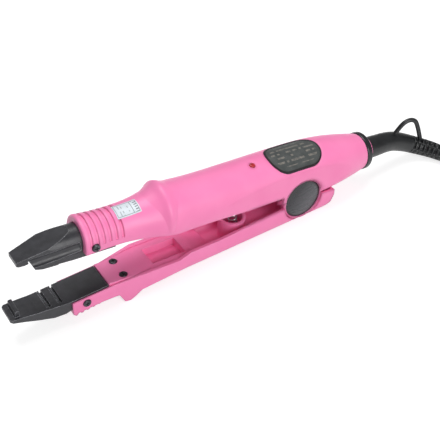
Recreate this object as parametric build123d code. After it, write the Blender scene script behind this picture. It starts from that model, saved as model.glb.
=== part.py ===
from build123d import *
import os
from math import atan2, cos, degrees, floor, pi, radians, sin, sqrt

# Hair extension iron: a pair of heated tongs with a pivoting lower arm and a swivelling cord.
# Millimetres. +X runs towards the cord, Y lies along the hinge pin, +Z is up. The origin is on
# the surface that the iron lies on, under the middle of its length.

# Stance: how far behind the origin the hinge pin is, and how far the jaws stand open.
HINGE_X = 61.7
OPEN_ANGLE = 3.5
AXIS_OVER_HINGE = 12.2

# Upper casing, in the handle's own frame: X along the handle, origin over the hinge pin.
WALL = 2.0
NECK_FRONT_X = -138.2
NECK_R = 12.5
NECK_WAIST_X = -116.0
NECK_WAIST_R = 11.5
CONE_X = -102.0
CONE_R = 12.8
GRIP_FRONT_X = -88.0
GRIP_R = 15.8
GRIP_LEAD_X = -76.0
GRIP_LEAD_R = 15.75
GRIP_MID_X = -55.0
GRIP_MID_R = 15.65
BULGE_X = -8.0
BULGE_R = 16.7
TAPER_X = 18.0
TAPER_R = 16.1
TAIL_CONE_X = 35.0
TAIL_CONE_R = 13.75
FLAT_X = (-20.0, 24.0)
FLAT_HALF_W = 14.2
FLAT_LEAD_HALF_W = 16.5
DISH_Y = 12.8
DISH_R = 12.9
DISH_SPREAD = 1.3
TAIL_X = 47.6
TAIL_R = 11.1
NECK_LIP_ROUND = 1.2
STOP_RIDGE_X = -90.3
STOP_RIDGE_R = 16.2
STOP_RIDGE_RISE = 2.0
STOP_RIDGE_LENGTH = 14.0
STOP_RIDGE_HEIGHT = 3.9
NECK_UNDER_Z = -3.5
GRIP_UNDER_Z = -5.8
SLOT_END_X = -15.2
HEEL_SEAM_Z = -11.7
HEEL_SEAM_END_X = 24.8
RIB_COUNT = 6
RIB_PITCH = 3.6
RIB_DEPTH = 0.9
RIB_GROOVE = 1.5
RIB_FADE = 0.25
RIB_END_Z = 0.5
RIB_FIRST_X = -134.8
SHELL_GAP = 0.15

# Heated tip.
BAR_R = 8.4
BAR_REAR_X = -112.0
TIP_X = -172.8
TIP_FRONT_HALF_W = 5.0
TIP_TOP_Z = -0.3
TIP_SLOPE_END_X = -143.5
TIP_FLARE_X = -149.0
SCOOP_R = 3.4
SCOOP_START = 6.0
SCOOP_FRONT_Z = -2.6
SCOOP_REAR_Z = 0.6
BLOCK_HALF_W = 7.0
BLOCK_REAR_X = -119.0
BLOCK_UNDER_Z = -7.7
ELEMENT_R = 3.0
ELEMENT_LENGTH = 40.0
ELEMENT_FRONT_X = -156.0
SLEEVE_LENGTH = 12.0

# Hinge.
PIN_R = 2.5
PIN_FIT = 0.02
RUN_FIT = 0.05
EAR_R = 13.2
EAR_IN_Y = 8.4
EAR_OUT_Y = 13.2
EAR_GAP = 0.35
EAR_ROUND = 1.5
CAP_R = 12.1
CAP_FIT = 0.15
CAP_IN_Y = 10.4
CAP_THICK = 1.8
CAP_ROUND = 0.4
KNUCKLE_R = 5.5
KNUCKLE_IN_Y = 4.5
KNUCKLE_OUT_Y = 8.0
KNUCKLE_WEB_Z = -14.0
BUSH_WALL = 1.2

# Lower arm, in the arm's own frame: X along the arm, origin on the hinge pin.
ARM_HALF_W = 13.4
ARM_NOSE_HALF_W = 10.4
ARM_NOSE_WALL = 1.1
ARM_FRONT_X = -147.0
ARM_NARROW_X = -122.0
ARM_WIDE_X = -101.0
ARM_WALL = 2.0
ARM_FLOOR = 2.0
ARM_HEEL_X = 23.0
NOSE_TOP_Z = -13.2
RAIL_FRONT_X = -125.0
RAIL_FRONT_Z = -11.6
RAIL_MID_X = -101.0
RAIL_MID_Z = -8.9
RAIL_REAR_Z = -9.1
STEP_X = -79.7
STEP_HALF_L = 3.7
STEP_TOP_Z = -6.5
CREST_X = -57.0
CREST_Z = -5.9
WALL_END_Z = -2.1
NOSE_UNDER_Z = -21.9
NOSE_WAIST_X = -127.0
NOSE_WAIST_Z = -19.6
SPUR_X = -115.6
SPUR_Z = -25.6
BELLY_X = -105.0
BELLY_Z = -20.3
BELLY_REAR_X = -83.0
WAIST_UNDER_X = -22.0
WAIST_UNDER_Z = -16.8
HEEL_UNDER_Z = -15.1
HEEL_FLAT_END_X = 8.0
EDGE_ROUND_X = (-110.0, -78.0)
EDGE_ROUND_R = (1.5, 6.4)
REST_CUT = 0.3
NOSE_TAB_COUNT = 5
NOSE_TAB_PITCH = 3.4
NOSE_TAB_R = 1.1
STOP_GAP = 0.3

# Inner cover of the arm, its pocket and the spring's cup.
COVER_FRONT_X = -125.0
COVER_TOP_Z = -10.0
COVER_THICK = 1.7
COVER_FLAT_END_X = -72.0
COVER_END_X = -60.0
COVER_END_Z = -13.6
POCKET_FRONT_X = -96.8
POCKET_REAR_X = -76.2
POCKET_HALF_W = 6.8
POCKET_DEPTH = 5.0
POCKET_WALL = 1.2
CUP_X = -41.0
CUP_R = 8.0
CUP_WALL = 1.8
CUP_TOP_Z = -4.2
CUP_SEAT = 1.0
CUP_DEEP = 14.0
SPRING_R = 2.4
SPRING_WIRE_R = 0.45
SPRING_TURNS = 7
SPRING_PLAY = 0.4
SOCKET_R = 4.3
SOCKET_WALL = 0.7
SOCKET_DEPTH = 3.0

# Lower jaw.
JAW_TIP_X = -180.0
JAW_TIP_HALF_W = 7.0
JAW_MID_X = -162.0
JAW_MID_HALF_W = 7.9
JAW_SIDE_PLAY = 0.1
JAW_TOP_FRONT_Z = -11.8
JAW_DIP_X = (-170.0, -165.0, -148.0)
JAW_DIP_Z = -12.5
JAW_RISE_X = -138.0
JAW_RISE_Z = -11.7
JAW_TOP_REAR_Z = -10.8
JAW_TAIL_TOP_Z = -12.0
JAW_LIP = 1.6
JAW_TAIL_END_X = -109.0
JAW_TAIL_THICK = 2.4
JAW_CHIN = ((-173.0, -15.2), (-165.0, -17.7))
JAW_KEEL_X = -157.0
JAW_KEEL_Z = -19.6
JAW_HEEL = ((-150.5, -19.3), (-147.6, -18.1))
JAW_CORNER = 1.2
JAW_BLOCK_END_X = -133.5
JAW_BLOCK_UNDER_Z = -18.0
HOOK_X = -174.2
HOOK_THICK = 3.0
HOOK_ROUND = 0.8
HOOK_HALF_W = 5.2
HOOK_TOP_Z = -8.2
GROOVE_X = (-158.0, -151.5)
GROOVE_W = 1.3
GROOVE_DEPTH = 1.8
GROOVE_LINE_X = 1.6
GROOVE_LINE_W = 0.35
GROOVE_LINE_DEPTH = 0.3
GROOVE_STOP = 1.6
MICA_THICK = 0.6

# Screws.
HEAD_R = 2.3
HEAD_H = 1.3
SHANK_R = 1.2
CROSS_W = 0.6
CROSS_SPAN = 2.6
CROSS_DEPTH = 0.7
SCREW_HOLE_PLAY = 0.1
SCREW_TIP_PLAY = 0.4
ARM_SCREW_SEAT = 0.5
COVER_SCREW_SEAT = 0.8
NECK_SCREW_X = -132.7
NECK_SCREW_LENGTH = 5.5
ARM_SCREW_X = -138.9
ARM_SCREW_Z = -16.0
ARM_SCREW_LENGTH = 5.0
COVER_SCREW_X = -114.8
COVER_SCREW_INSET = 4.3
COVER_SCREW_Y = ARM_NOSE_HALF_W - COVER_SCREW_INSET
COVER_SCREW_LENGTH = 6.0
COVER_BOSS_R = 2.1
UNDER_SCREW_X = (-84.0, -24.0)
UNDER_SCREW_Y = 7.0
UNDER_SCREW_LENGTH = 8.0
UNDER_BOSS_R = 2.4

# What shows on top of the casing.
PLATE_X = -4.8
PLATE_ANGLE = 13.0
PLATE_HALF_L = 17.8
PLATE_HALF_W = 10.8
PLATE_PROUD = 0.25
PLATE_INSET = 0.8
PLATE_GAP = 0.1
PLATE_CORNER = 10.0
PLATE_RIM = 0.9
LENS_X = -33.0
LENS_ANGLE = 14.0
LENS_SURFACE_R = 16.0
LENS_R = 1.7
LENS_PROUD = 0.8
LENS_DEPTH = 3.2
LABEL_X = -110.8
LABEL_LENGTH = 13.7
LABEL_ANGLE = 14.0
LABEL_WIDTH = 9.0
LABEL_THICK = 0.15

# Circuit board and wires in the casing.
BOARD_X = (-76.0, -30.0)
BOARD_HALF_W = 8.5
BOARD_Z = 3.0
BOARD_THICK = 1.6
BOARD_POST_R = 1.8
BOARD_POST_Y = 5.0
CHIP_SIZE = 7.0
CAPACITOR_R = 3.2
CAPACITOR_H = 7.0
WIRE_R = 0.7
WIRE_SPREAD = 2.2
FUSE_R = 1.6
FUSE_LENGTH = 9.0
FUSE_FRONT = 19.0
WIRE_LEAD = 14.0
WIRE_END = 8.0
BOARD_POST_INSET = (3.0, 8.0)
LAMP_R = 1.4
LAMP_GAP = 0.5

# Cord swivel.
RING_LENGTH = 4.2
RING_R = 11.5
TAIL_WALL = 3.0
STEM_R = 5.0
STEM_HOLE_PLAY = 0.4
HUB_GAP = 0.3
HUB_R = 8.6
HUB_LENGTH = 2.0
CLIP_R = 7.2
CLIP_THICK = 1.6
CLIP_PLAY = 0.3
CORD_D = 6.0

# Boot: centre line from the hub to the end of the ribbed sleeve, and its radii along it.
BOOT_ROUTE = ((125.5, 0.0, 18.2), (132.6, 0.0, 17.6), (140.1, 0.0, 15.6), (148.8, -1.5, 11.5),
              (154.7, -4.2, 8.6), (159.4, -8.2, 6.9), (162.9, -13.0, 6.0), (165.2, -18.2, 5.4),
              (168.0, -23.4, 5.0), (172.1, -27.6, 4.7))
BOOT_RADII = (6.6, 6.6, 6.3, 6.1, 5.9, 5.6, 5.4, 5.2, 4.9, 4.5, 4.1)
BOOT_SMOOTH = 5
BOOT_RIBS = 10
BOOT_CORE_DROP = 1.3
BOOT_RIB_SHARE = 0.64
BOOT_RIB_EDGE = 0.08
BOOT_BEND = 8.0
LOOP_R = 1.4
LOOP_ROUTE = ((138.4, 0.0, 17.4), (143.0, -1.0, 23.6), (147.0, -2.0, 28.0), (152.0, -3.2, 28.6),
              (155.6, -4.4, 25.0), (158.4, -6.0, 10.4))
LOOP_BEND = 2.4

# Hank: the rest of the cord, folded beside the iron in four layers of one loop each, and tied.
HANK_CENTRE = (270.7, -15.5)
HANK_HALF_L = 76.0
HANK_WAIST = 7.5
HANK_PITCH = 6.8
HANK_WAIST_PITCH = 7.8
HANK_LAYER = 6.6
HANK_LAYERS = 4
HANK_LIFT = 0.6
HANK_FOLD_X = 56.0
HANK_FOLD_R = 18.2
TIE_WIDTH = 5.0
TIE_THICK = 0.4
TIE_GAP = 0.15
CORD_TO_HANK = ((177.0, -32.6, 4.35), (186.2, -38.7, 3.8), (198.7, -42.2, 3.6))
CORD_TO_PLUG = ((233.7, -39.8, 23.4), (247.7, -36.5, 26.5), (263.2, -29.0, 30.6), (276.7, -22.4, 31.9))
PLUG_AT = (287.7, -17.1, 31.9)

# Plug with two round pins.
PLUG_LENGTH = 34.0
PLUG_W = 14.0
PLUG_H = 8.8
PLUG_NECK_R = 4.0
PLUG_NECK_LENGTH = 10.0
PLUG_PIN_R = 2.0
PLUG_PIN_LENGTH = 19.0
PLUG_PIN_PITCH = 9.3
PLUG_PIN_ROOT = 4.0
PLUG_ROOT_R = 1.6

BIG = 400.0

# The iron lies on the arm's finger spur and on the rear end of its heel's flat.
ARM_TILT = degrees(atan2(HEEL_UNDER_Z - SPUR_Z, HEEL_FLAT_END_X - SPUR_X))
HINGE_HEIGHT = (HEEL_FLAT_END_X * sin(radians(ARM_TILT)) - HEEL_UNDER_Z * cos(radians(ARM_TILT))
                - REST_CUT)

HINGE = Pos(HINGE_X, 0, HINGE_HEIGHT)
ARM = HINGE * Rot(0, ARM_TILT, 0)
HANDLE = HINGE * Rot(0, ARM_TILT + OPEN_ANGLE, 0) * Pos(0, 0, AXIS_OVER_HINGE)


def block(x0, x1, y0, y1, z0, z1):
    """A box between two corners."""
    return Pos((x0 + x1) / 2, (y0 + y1) / 2, (z0 + z1) / 2) * Box(x1 - x0, y1 - y0, z1 - z0)


def along_y(points, half_w):
    """The outline of (x, z) points, pushed out to both sides of Y = 0."""
    outline = make_face(Polyline(*[(x, 0, z) for x, z in points], close=True))
    return extrude(outline, amount=half_w, dir=(0, 1, 0), both=True)


def along_z(points, low, high):
    """The outline of (x, y) points, pushed up from low to high."""
    outline = make_face(Polyline(*[(x, y, low) for x, y in points], close=True))
    return extrude(outline, amount=high - low, dir=(0, 0, 1))


def rod_y(radius, y0, y1, x=0.0, z=0.0):
    """A cylinder along Y."""
    return Pos(x, (y0 + y1) / 2, z) * Rot(90, 0, 0) * Cylinder(radius, abs(y1 - y0))


def rod_x(radius, x0, x1, y=0.0, z=0.0):
    """A cylinder along X."""
    return Pos((x0 + x1) / 2, y, z) * Rot(0, 90, 0) * Cylinder(radius, x1 - x0)


def both_sides(shape):
    """The shape and its mirror image across Y = 0."""
    return [shape, mirror(shape, about=Plane.XZ)]


def turned(points):
    """A solid turned about X from a smooth curve through (x, r) points."""
    curve = Spline(*[(x, 0, r) for x, r in points])
    rest = (points[-1], (points[-1][0], 0), (points[0][0], 0), points[0])
    edges = Polyline(*[(x, 0, r) for x, r in rest])
    return revolve(make_face(curve.edges() + edges.edges()), axis=Axis.X)


def casing_form(grow=0.0):
    """The outer form of the casing: turned, with flattened sides beside the hinge."""
    stations = (
        (NECK_FRONT_X, NECK_R),
        (NECK_WAIST_X, NECK_WAIST_R),
        (CONE_X, CONE_R),
        (GRIP_FRONT_X, GRIP_R),
        (GRIP_LEAD_X, GRIP_LEAD_R),
        (GRIP_MID_X, GRIP_MID_R),
        (BULGE_X, BULGE_R),
        (TAPER_X, TAPER_R),
        (TAIL_CONE_X, TAIL_CONE_R),
        (TAIL_X, TAIL_R),
    )
    body = turned([(x, r + grow) for x, r in stations])
    rims = body.edges().filter_by(GeomType.CIRCLE).sort_by(Axis.X)
    body = fillet(rims[0], NECK_LIP_ROUND)
    lead = FLAT_LEAD_HALF_W + grow
    flat = FLAT_HALF_W + grow
    half = ((NECK_FRONT_X - 5, lead), (GRIP_FRONT_X, lead), (FLAT_X[0], flat), (FLAT_X[1], flat),
            (TAIL_X + 5, flat))
    plan = half + tuple((x, -y) for x, y in reversed(half))
    return body & along_z(plan, -BIG / 8, BIG / 8)


def screw(length):
    """A pan head screw that points along -Z, with the underside of its head at z = 0."""
    head = Cylinder(HEAD_R, HEAD_H, align=(Align.CENTER, Align.CENTER, Align.MIN))
    head = fillet(head.edges().group_by(Axis.Z)[-1], HEAD_H * 0.6)
    cross = Pos(0, 0, HEAD_H) * (
        Box(CROSS_SPAN, CROSS_W, CROSS_DEPTH * 2) + Box(CROSS_W, CROSS_SPAN, CROSS_DEPTH * 2)
    )
    shank = Cylinder(SHANK_R, length, align=(Align.CENTER, Align.CENTER, Align.MAX))
    return head - cross + shank


def under_cut(drop=0.0):
    """What lies below the casing's open underside, back to the slot's rear end."""
    side = (
        (NECK_FRONT_X - 10, NECK_UNDER_Z - drop),
        (NECK_WAIST_X, NECK_UNDER_Z - drop),
        (GRIP_FRONT_X, GRIP_UNDER_Z - drop),
        (SLOT_END_X, GRIP_UNDER_Z - drop),
        (SLOT_END_X, -BIG / 4),
        (NECK_FRONT_X - 10, -BIG / 4),
    )
    return along_y(side, BIG / 8)


def stop_ridge():
    """The finger stop on the casing: a collar that stands highest on top and dies at the sides."""
    front = STOP_RIDGE_X - STOP_RIDGE_LENGTH
    foot = STOP_RIDGE_R - STOP_RIDGE_HEIGHT
    curve = ((front, foot - 2.4), (STOP_RIDGE_X - 7, foot), (STOP_RIDGE_X - 3, foot + 2.2),
             (STOP_RIDGE_X, STOP_RIDGE_R), (STOP_RIDGE_X + 4, foot + 2.8), (STOP_RIDGE_X + 9, foot + 1.9),
             (STOP_RIDGE_X + 15, foot + 1.3))
    return Pos(0, 0, STOP_RIDGE_RISE) * turned(curve)


def ears(radius, y_in, y_out):
    """Two round plates about the hinge pin, given in the handle's frame."""
    return both_sides(rod_y(radius, y_in, y_out, 0, -AXIS_OVER_HINGE))


def rib_xs():
    return [RIB_FIRST_X + i * RIB_PITCH for i in range(RIB_COUNT)]


def plate_prism(gap=0.0):
    """The outline of the rating plate, pushed up through the top of the casing."""
    outline = Pos(PLATE_X, 0, 0) * RectangleRounded(
        2 * (PLATE_HALF_L + gap), 2 * (PLATE_HALF_W + gap), PLATE_CORNER + gap)
    return Rot(PLATE_ANGLE, 0, 0) * extrude(outline, amount=BIG / 8)


def lens_place():
    return Rot(LENS_ANGLE, 0, 0) * Pos(LENS_X, 0, LENS_SURFACE_R)


def under_bosses(top):
    """Screw bosses that hang from the casing's roof over the underside cover's screws."""
    bosses = []
    for x in UNDER_SCREW_X:
        for y in (-UNDER_SCREW_Y, UNDER_SCREW_Y):
            bosses.append(block(x - UNDER_BOSS_R, x + UNDER_BOSS_R, y - UNDER_BOSS_R, y + UNDER_BOSS_R,
                                GRIP_UNDER_Z + COVER_THICK + SHELL_GAP, top))
    return bosses


def make_upper_shell():
    outer = casing_form() + stop_ridge()
    outer -= under_cut()
    for plate in ears(EAR_R, EAR_IN_Y, EAR_OUT_Y):
        outer_rim = plate.edges().filter_by(GeomType.CIRCLE).sort_by(lambda edge: abs(edge.center().Y))[-1]
        outer += fillet(outer_rim, EAR_ROUND)
    hollow = casing_form(-WALL) - block(NECK_FRONT_X - 5, BAR_REAR_X, -BIG / 8, BIG / 8, -BIG / 8, BIG / 8)
    hollow -= block(TAIL_X - TAIL_WALL, TAIL_X + 5, -BIG / 8, BIG / 8, -BIG / 8, BIG / 8)
    hollow &= block(-BIG, BIG, -BIG / 8, BIG / 8, HEEL_SEAM_Z + WALL, BIG / 8) + block(
        -BIG, SLOT_END_X, -BIG / 8, BIG / 8, -BIG / 8, BIG / 8)
    shell = outer - hollow
    # The mouth that holds the heated bar, and the stem's hole in the tail.
    shell -= rod_x(BAR_R + SHELL_GAP, NECK_FRONT_X - 5, BAR_REAR_X + 0.5)
    shell -= block(NECK_FRONT_X - 5, BLOCK_REAR_X + SHELL_GAP, -BLOCK_HALF_W - SHELL_GAP,
                   BLOCK_HALF_W + SHELL_GAP, -BIG / 8, 0)
    shell -= rod_x(STEM_R + STEM_HOLE_PLAY, TAIL_X - TAIL_WALL - 2, TAIL_X + 2)
    # Room between the ears for the arm's knuckles, and the flat that the heel stops against.
    shell -= block(SLOT_END_X - 0.1, EAR_R + 1.4, -EAR_IN_Y, EAR_IN_Y, -BIG / 8, HEEL_SEAM_Z + WALL)
    heel_room = block(0, HEEL_SEAM_END_X, -BIG / 8, BIG / 8, -BIG / 8, HEEL_SEAM_Z)
    for plate in ears(EAR_R, EAR_IN_Y - 1, EAR_OUT_Y + 1):
        heel_room -= plate
    shell -= heel_room
    # A dish and a round recess for each hinge cap, cut in from the sides of the casing.
    reach = GRIP_R + 5 - DISH_Y
    dish = Cone(DISH_R, DISH_R + DISH_SPREAD * reach, reach, align=(Align.CENTER, Align.CENTER, Align.MIN))
    for hollow_side in both_sides(Pos(0, -DISH_Y, -AXIS_OVER_HINGE) * Rot(90, 0, 0) * dish):
        shell -= hollow_side
    for recess in ears(CAP_R + CAP_FIT, CAP_IN_Y, BIG / 8):
        shell -= recess
    shell -= rod_y(PIN_R + PIN_FIT, -EAR_OUT_Y - 1, EAR_OUT_Y + 1, 0, -AXIS_OVER_HINGE)
    # Grip ribs round the neck.
    for x in rib_xs():
        ring = rod_x(NECK_R + 2, x - RIB_GROOVE / 2, x + RIB_GROOVE / 2)
        local_r = NECK_R + (NECK_WAIST_R - NECK_R) * (x - NECK_FRONT_X) / (NECK_WAIST_X - NECK_FRONT_X)
        groove = ring - rod_x(local_r - RIB_DEPTH, x - RIB_GROOVE, x + RIB_GROOVE, 0, -RIB_FADE)
        shell -= groove & block(NECK_FRONT_X, GRIP_FRONT_X, -BIG / 8, BIG / 8, RIB_END_Z, BIG / 8)
    # Seats for the plate, the lens and the screws.
    shell -= plate_prism(PLATE_GAP) - casing_form(-PLATE_INSET)
    shell -= lens_place() * Cylinder(LENS_R + SHELL_GAP / 2, 2 * LENS_DEPTH)
    for hole in both_sides(rod_y(SHANK_R + SCREW_HOLE_PLAY, BAR_R - 2, NECK_R + 3, NECK_SCREW_X, 0)):
        shell -= hole
    for seat in both_sides(rod_y(HEAD_R + SCREW_HOLE_PLAY, NECK_R - 0.7, NECK_R + 3, NECK_SCREW_X, 0)):
        shell -= seat
    for boss in under_bosses(GRIP_R - WALL):
        shell += boss & casing_form(-WALL + 0.5)
    for x in UNDER_SCREW_X:
        for y in (-UNDER_SCREW_Y, UNDER_SCREW_Y):
            shell -= Pos(x, y, GRIP_UNDER_Z) * Cylinder(SHANK_R, 2 * (UNDER_SCREW_LENGTH + 0.3))
    return HANDLE * shell


def make_underside_cover():
    """The plate that closes the casing's underside, with the socket for the return spring."""
    form = casing_form(-WALL - SHELL_GAP)
    slab = under_cut(-COVER_THICK) - under_cut(0)
    slab &= block(BAR_REAR_X + 2, SLOT_END_X - SHELL_GAP, -BIG / 8, BIG / 8, -BIG / 8, BIG / 8)
    cover = form & slab
    socket_x = CUP_X * cos(radians(OPEN_ANGLE))
    cover += Pos(socket_x, 0, GRIP_UNDER_Z + 0.2) * Cylinder(
        SOCKET_R, SOCKET_DEPTH + 0.2, align=(Align.CENTER, Align.CENTER, Align.MAX))
    cover -= Pos(socket_x, 0, GRIP_UNDER_Z) * Cylinder(
        SOCKET_R - SOCKET_WALL, SOCKET_DEPTH + 1, align=(Align.CENTER, Align.CENTER, Align.MAX))
    for x in UNDER_SCREW_X:
        for y in (-UNDER_SCREW_Y, UNDER_SCREW_Y):
            cover -= Pos(x, y, GRIP_UNDER_Z) * Cylinder(SHANK_R + SCREW_HOLE_PLAY, 10)
            cover -= Pos(x, y, GRIP_UNDER_Z) * Cylinder(
                HEAD_R + SCREW_HOLE_PLAY, 2 * (COVER_THICK - 1.0))
    return HANDLE * cover


def make_underside_screws():
    screws = []
    for x in UNDER_SCREW_X:
        for y in (-UNDER_SCREW_Y, UNDER_SCREW_Y):
            place = Pos(x, y, GRIP_UNDER_Z + COVER_THICK - 1.0) * Rot(180, 0, 0)
            screws.append(HANDLE * place * screw(UNDER_SCREW_LENGTH - 1.0))
    return screws


def make_neck_screws():
    place = Pos(NECK_SCREW_X, -NECK_R + 0.7, 0) * Rot(90, 0, 0)
    return [HANDLE * s for s in both_sides(place * screw(NECK_SCREW_LENGTH))]


def make_heater_tip():
    side = (
        (TIP_X, TIP_TOP_Z),
        (TIP_SLOPE_END_X, BAR_R - 0.5),
        (TIP_SLOPE_END_X + 1.5, BAR_R + 1),
        (BAR_REAR_X, BAR_R + 1),
        (BAR_REAR_X, -BAR_R - 1),
        (BLOCK_REAR_X, -BAR_R - 1),
        (BLOCK_REAR_X, BLOCK_UNDER_Z),
        (-143.0, BLOCK_UNDER_Z),
        (-151.0, BLOCK_UNDER_Z + 0.4),
        (-151.6, BLOCK_UNDER_Z),
        (-160.0, BLOCK_UNDER_Z + 0.3),
        (-163.6, BLOCK_UNDER_Z + 0.9),
        (-166.0, TIP_TOP_Z - 1.6),
        (-168.8, TIP_TOP_Z - 2.5),
        (-171.6, TIP_TOP_Z - 2.7),
        (TIP_X, TIP_TOP_Z - 2.2),
    )
    plan = (
        (TIP_X, TIP_FRONT_HALF_W),
        (TIP_FLARE_X, BAR_R + 0.2),
        (BAR_REAR_X, BAR_R + 0.2),
        (BAR_REAR_X, -BAR_R - 0.2),
        (TIP_FLARE_X, -BAR_R - 0.2),
        (TIP_X, -TIP_FRONT_HALF_W),
    )
    section = rod_x(BAR_R, TIP_X - 1, BAR_REAR_X)
    section += block(TIP_X - 1, BLOCK_REAR_X, -BLOCK_HALF_W, BLOCK_HALF_W, BLOCK_UNDER_Z, -2)
    section -= block(BLOCK_REAR_X, BAR_REAR_X + 1, -BIG, BIG, -BIG / 8, BLOCK_UNDER_Z + 1.2)
    tip = section & along_y(side, BAR_R + 2) & along_z(plan, -BIG / 8, BIG / 8)
    # A hollow along each flank, under the edge of the top facet.
    low = Vector(TIP_X + SCOOP_START, -TIP_FRONT_HALF_W - SCOOP_R * 0.75, SCOOP_FRONT_Z)
    high = Vector(NECK_FRONT_X - 1.5, -BAR_R - SCOOP_R * 0.55, SCOOP_REAR_Z)
    axis = Line(low, high)
    scoop = sweep(Plane(origin=low, z_dir=axis % 0) * Circle(SCOOP_R), path=axis)
    for side_scoop in both_sides(scoop):
        tip -= side_scoop
    tip -= rod_x(ELEMENT_R + RUN_FIT, ELEMENT_FRONT_X - 0.3, BAR_REAR_X + 1)
    for hole in both_sides(rod_y(SHANK_R, BAR_R - 4.6, BAR_R + 2, NECK_SCREW_X, 0)):
        tip -= hole
    return HANDLE * tip


def make_heating_element():
    return HANDLE * rod_x(ELEMENT_R, ELEMENT_FRONT_X, ELEMENT_FRONT_X + ELEMENT_LENGTH)


def make_rear_sleeve():
    """Ceramic sleeve behind the bar, round the heating element's tail and its wires."""
    sleeve = rod_x(BAR_R, BAR_REAR_X + 0.1, BAR_REAR_X + SLEEVE_LENGTH)
    sleeve -= rod_x(ELEMENT_R + RUN_FIT, BAR_REAR_X - 1, BAR_REAR_X + SLEEVE_LENGTH + 1)
    sleeve &= block(-BIG, BIG, -BIG / 8, BIG / 8, NECK_UNDER_Z + COVER_THICK + 1.4, BIG / 8)
    return HANDLE * sleeve


def make_lead_wires():
    """Two insulated wires from the heating element back to the circuit board."""
    start_x = ELEMENT_FRONT_X + ELEMENT_LENGTH
    wires = []
    for y in (-WIRE_SPREAD / 2, WIRE_SPREAD / 2):
        board_y = y * 1.2
        board_x = BOARD_X[0] + WIRE_END
        route = ((start_x + 0.1, y, 0), (start_x + WIRE_LEAD, y, 0), (BOARD_X[0] - 10, board_y, BOARD_Z + 3.6),
                 (board_x, board_y, BOARD_Z + 4.6), (board_x, board_y, BOARD_Z + BOARD_THICK + 0.05))
        path = FilletPolyline(*route, radius=1.4)
        section = Plane(origin=route[0], z_dir=(1, 0, 0)) * Circle(WIRE_R)
        wires.append(HANDLE * sweep(section, path=path))
    return wires


def make_circuit_board():
    board = block(BOARD_X[0], BOARD_X[1], -BOARD_HALF_W, BOARD_HALF_W, BOARD_Z, BOARD_Z + BOARD_THICK)
    return HANDLE * board


def make_board_posts():
    """Posts on the underside cover's side of the board that carry it at its four corners."""
    posts = []
    r = BOARD_POST_R
    for x in (BOARD_X[0] + BOARD_POST_INSET[0], BOARD_X[1] - BOARD_POST_INSET[1]):
        for y in (-BOARD_POST_Y, BOARD_POST_Y):
            posts.append(HANDLE * block(x - r, x + r, y - r, y + r, GRIP_UNDER_Z + COVER_THICK, BOARD_Z))
    return posts


def make_board_parts():
    """Control chip, capacitor and thermal fuse on top of the board."""
    top = BOARD_Z + BOARD_THICK
    mid = (BOARD_X[0] + BOARD_X[1]) / 2
    chip = block(mid - CHIP_SIZE / 2, mid + CHIP_SIZE / 2, -CHIP_SIZE / 2, CHIP_SIZE / 2, top, top + 1.8)
    can = Pos(mid + 11, 3.4, top) * Cylinder(CAPACITOR_R, CAPACITOR_H,
                                             align=(Align.CENTER, Align.CENTER, Align.MIN))
    fuse_x = mid - FUSE_FRONT
    fuse = rod_x(FUSE_R, fuse_x, fuse_x + FUSE_LENGTH, -4.2, top + FUSE_R)
    return [HANDLE * piece for piece in (chip, can, fuse)]


def make_indicator_lens():
    lens = Pos(0, 0, -LENS_DEPTH) * Cylinder(LENS_R, LENS_DEPTH + LENS_PROUD,
                                            align=(Align.CENTER, Align.CENTER, Align.MIN))
    lens = fillet(lens.edges().group_by(Axis.Z)[-1], LENS_PROUD * 0.9)
    return HANDLE * lens_place() * lens


def make_led():
    """Lamp that stands on the board with its tip under the lens."""
    y = -sin(radians(LENS_ANGLE)) * (LENS_SURFACE_R - LENS_DEPTH)
    top = cos(radians(LENS_ANGLE)) * (LENS_SURFACE_R - LENS_DEPTH) - LAMP_R - LAMP_GAP
    bulb = Pos(LENS_X, y, top) * Sphere(LAMP_R)
    body = Pos(LENS_X, y, BOARD_Z + BOARD_THICK) * Cylinder(
        LAMP_R, top - BOARD_Z - BOARD_THICK, align=(Align.CENTER, Align.CENTER, Align.MIN))
    return HANDLE * (bulb + body)


def make_rating_plate():
    """Plate let into the top of the casing, with a raised rim."""
    plate = (casing_form(PLATE_PROUD) - casing_form(-PLATE_INSET)) & plate_prism()
    plate -= (casing_form(PLATE_PROUD + 1) - casing_form(0)) & plate_prism(-PLATE_RIM)
    return HANDLE * plate


def make_front_label():
    """Thin plain label on the near side of the casing's cone."""
    sheet = casing_form(LABEL_THICK) - casing_form(0)
    patch = Rot(LABEL_ANGLE, 0, 0) * Pos(LABEL_X, 0, BIG / 16) * Box(LABEL_LENGTH, LABEL_WIDTH, BIG / 8)
    return HANDLE * (sheet & patch)


def make_hinge_pin():
    return HINGE * rod_y(PIN_R, -CAP_IN_Y + 0.05, CAP_IN_Y - 0.05)


def make_hinge_cap(side):
    """Round cap that covers the pin's end in its recess."""
    cap = Cylinder(CAP_R, CAP_THICK, align=(Align.CENTER, Align.CENTER, Align.MIN))
    cap = fillet(cap.edges().group_by(Axis.Z)[-1], CAP_ROUND)
    place = Rot(-90, 0, 0) if side > 0 else Rot(90, 0, 0)
    return HINGE * Pos(0, side * CAP_IN_Y, 0) * place * cap


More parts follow.
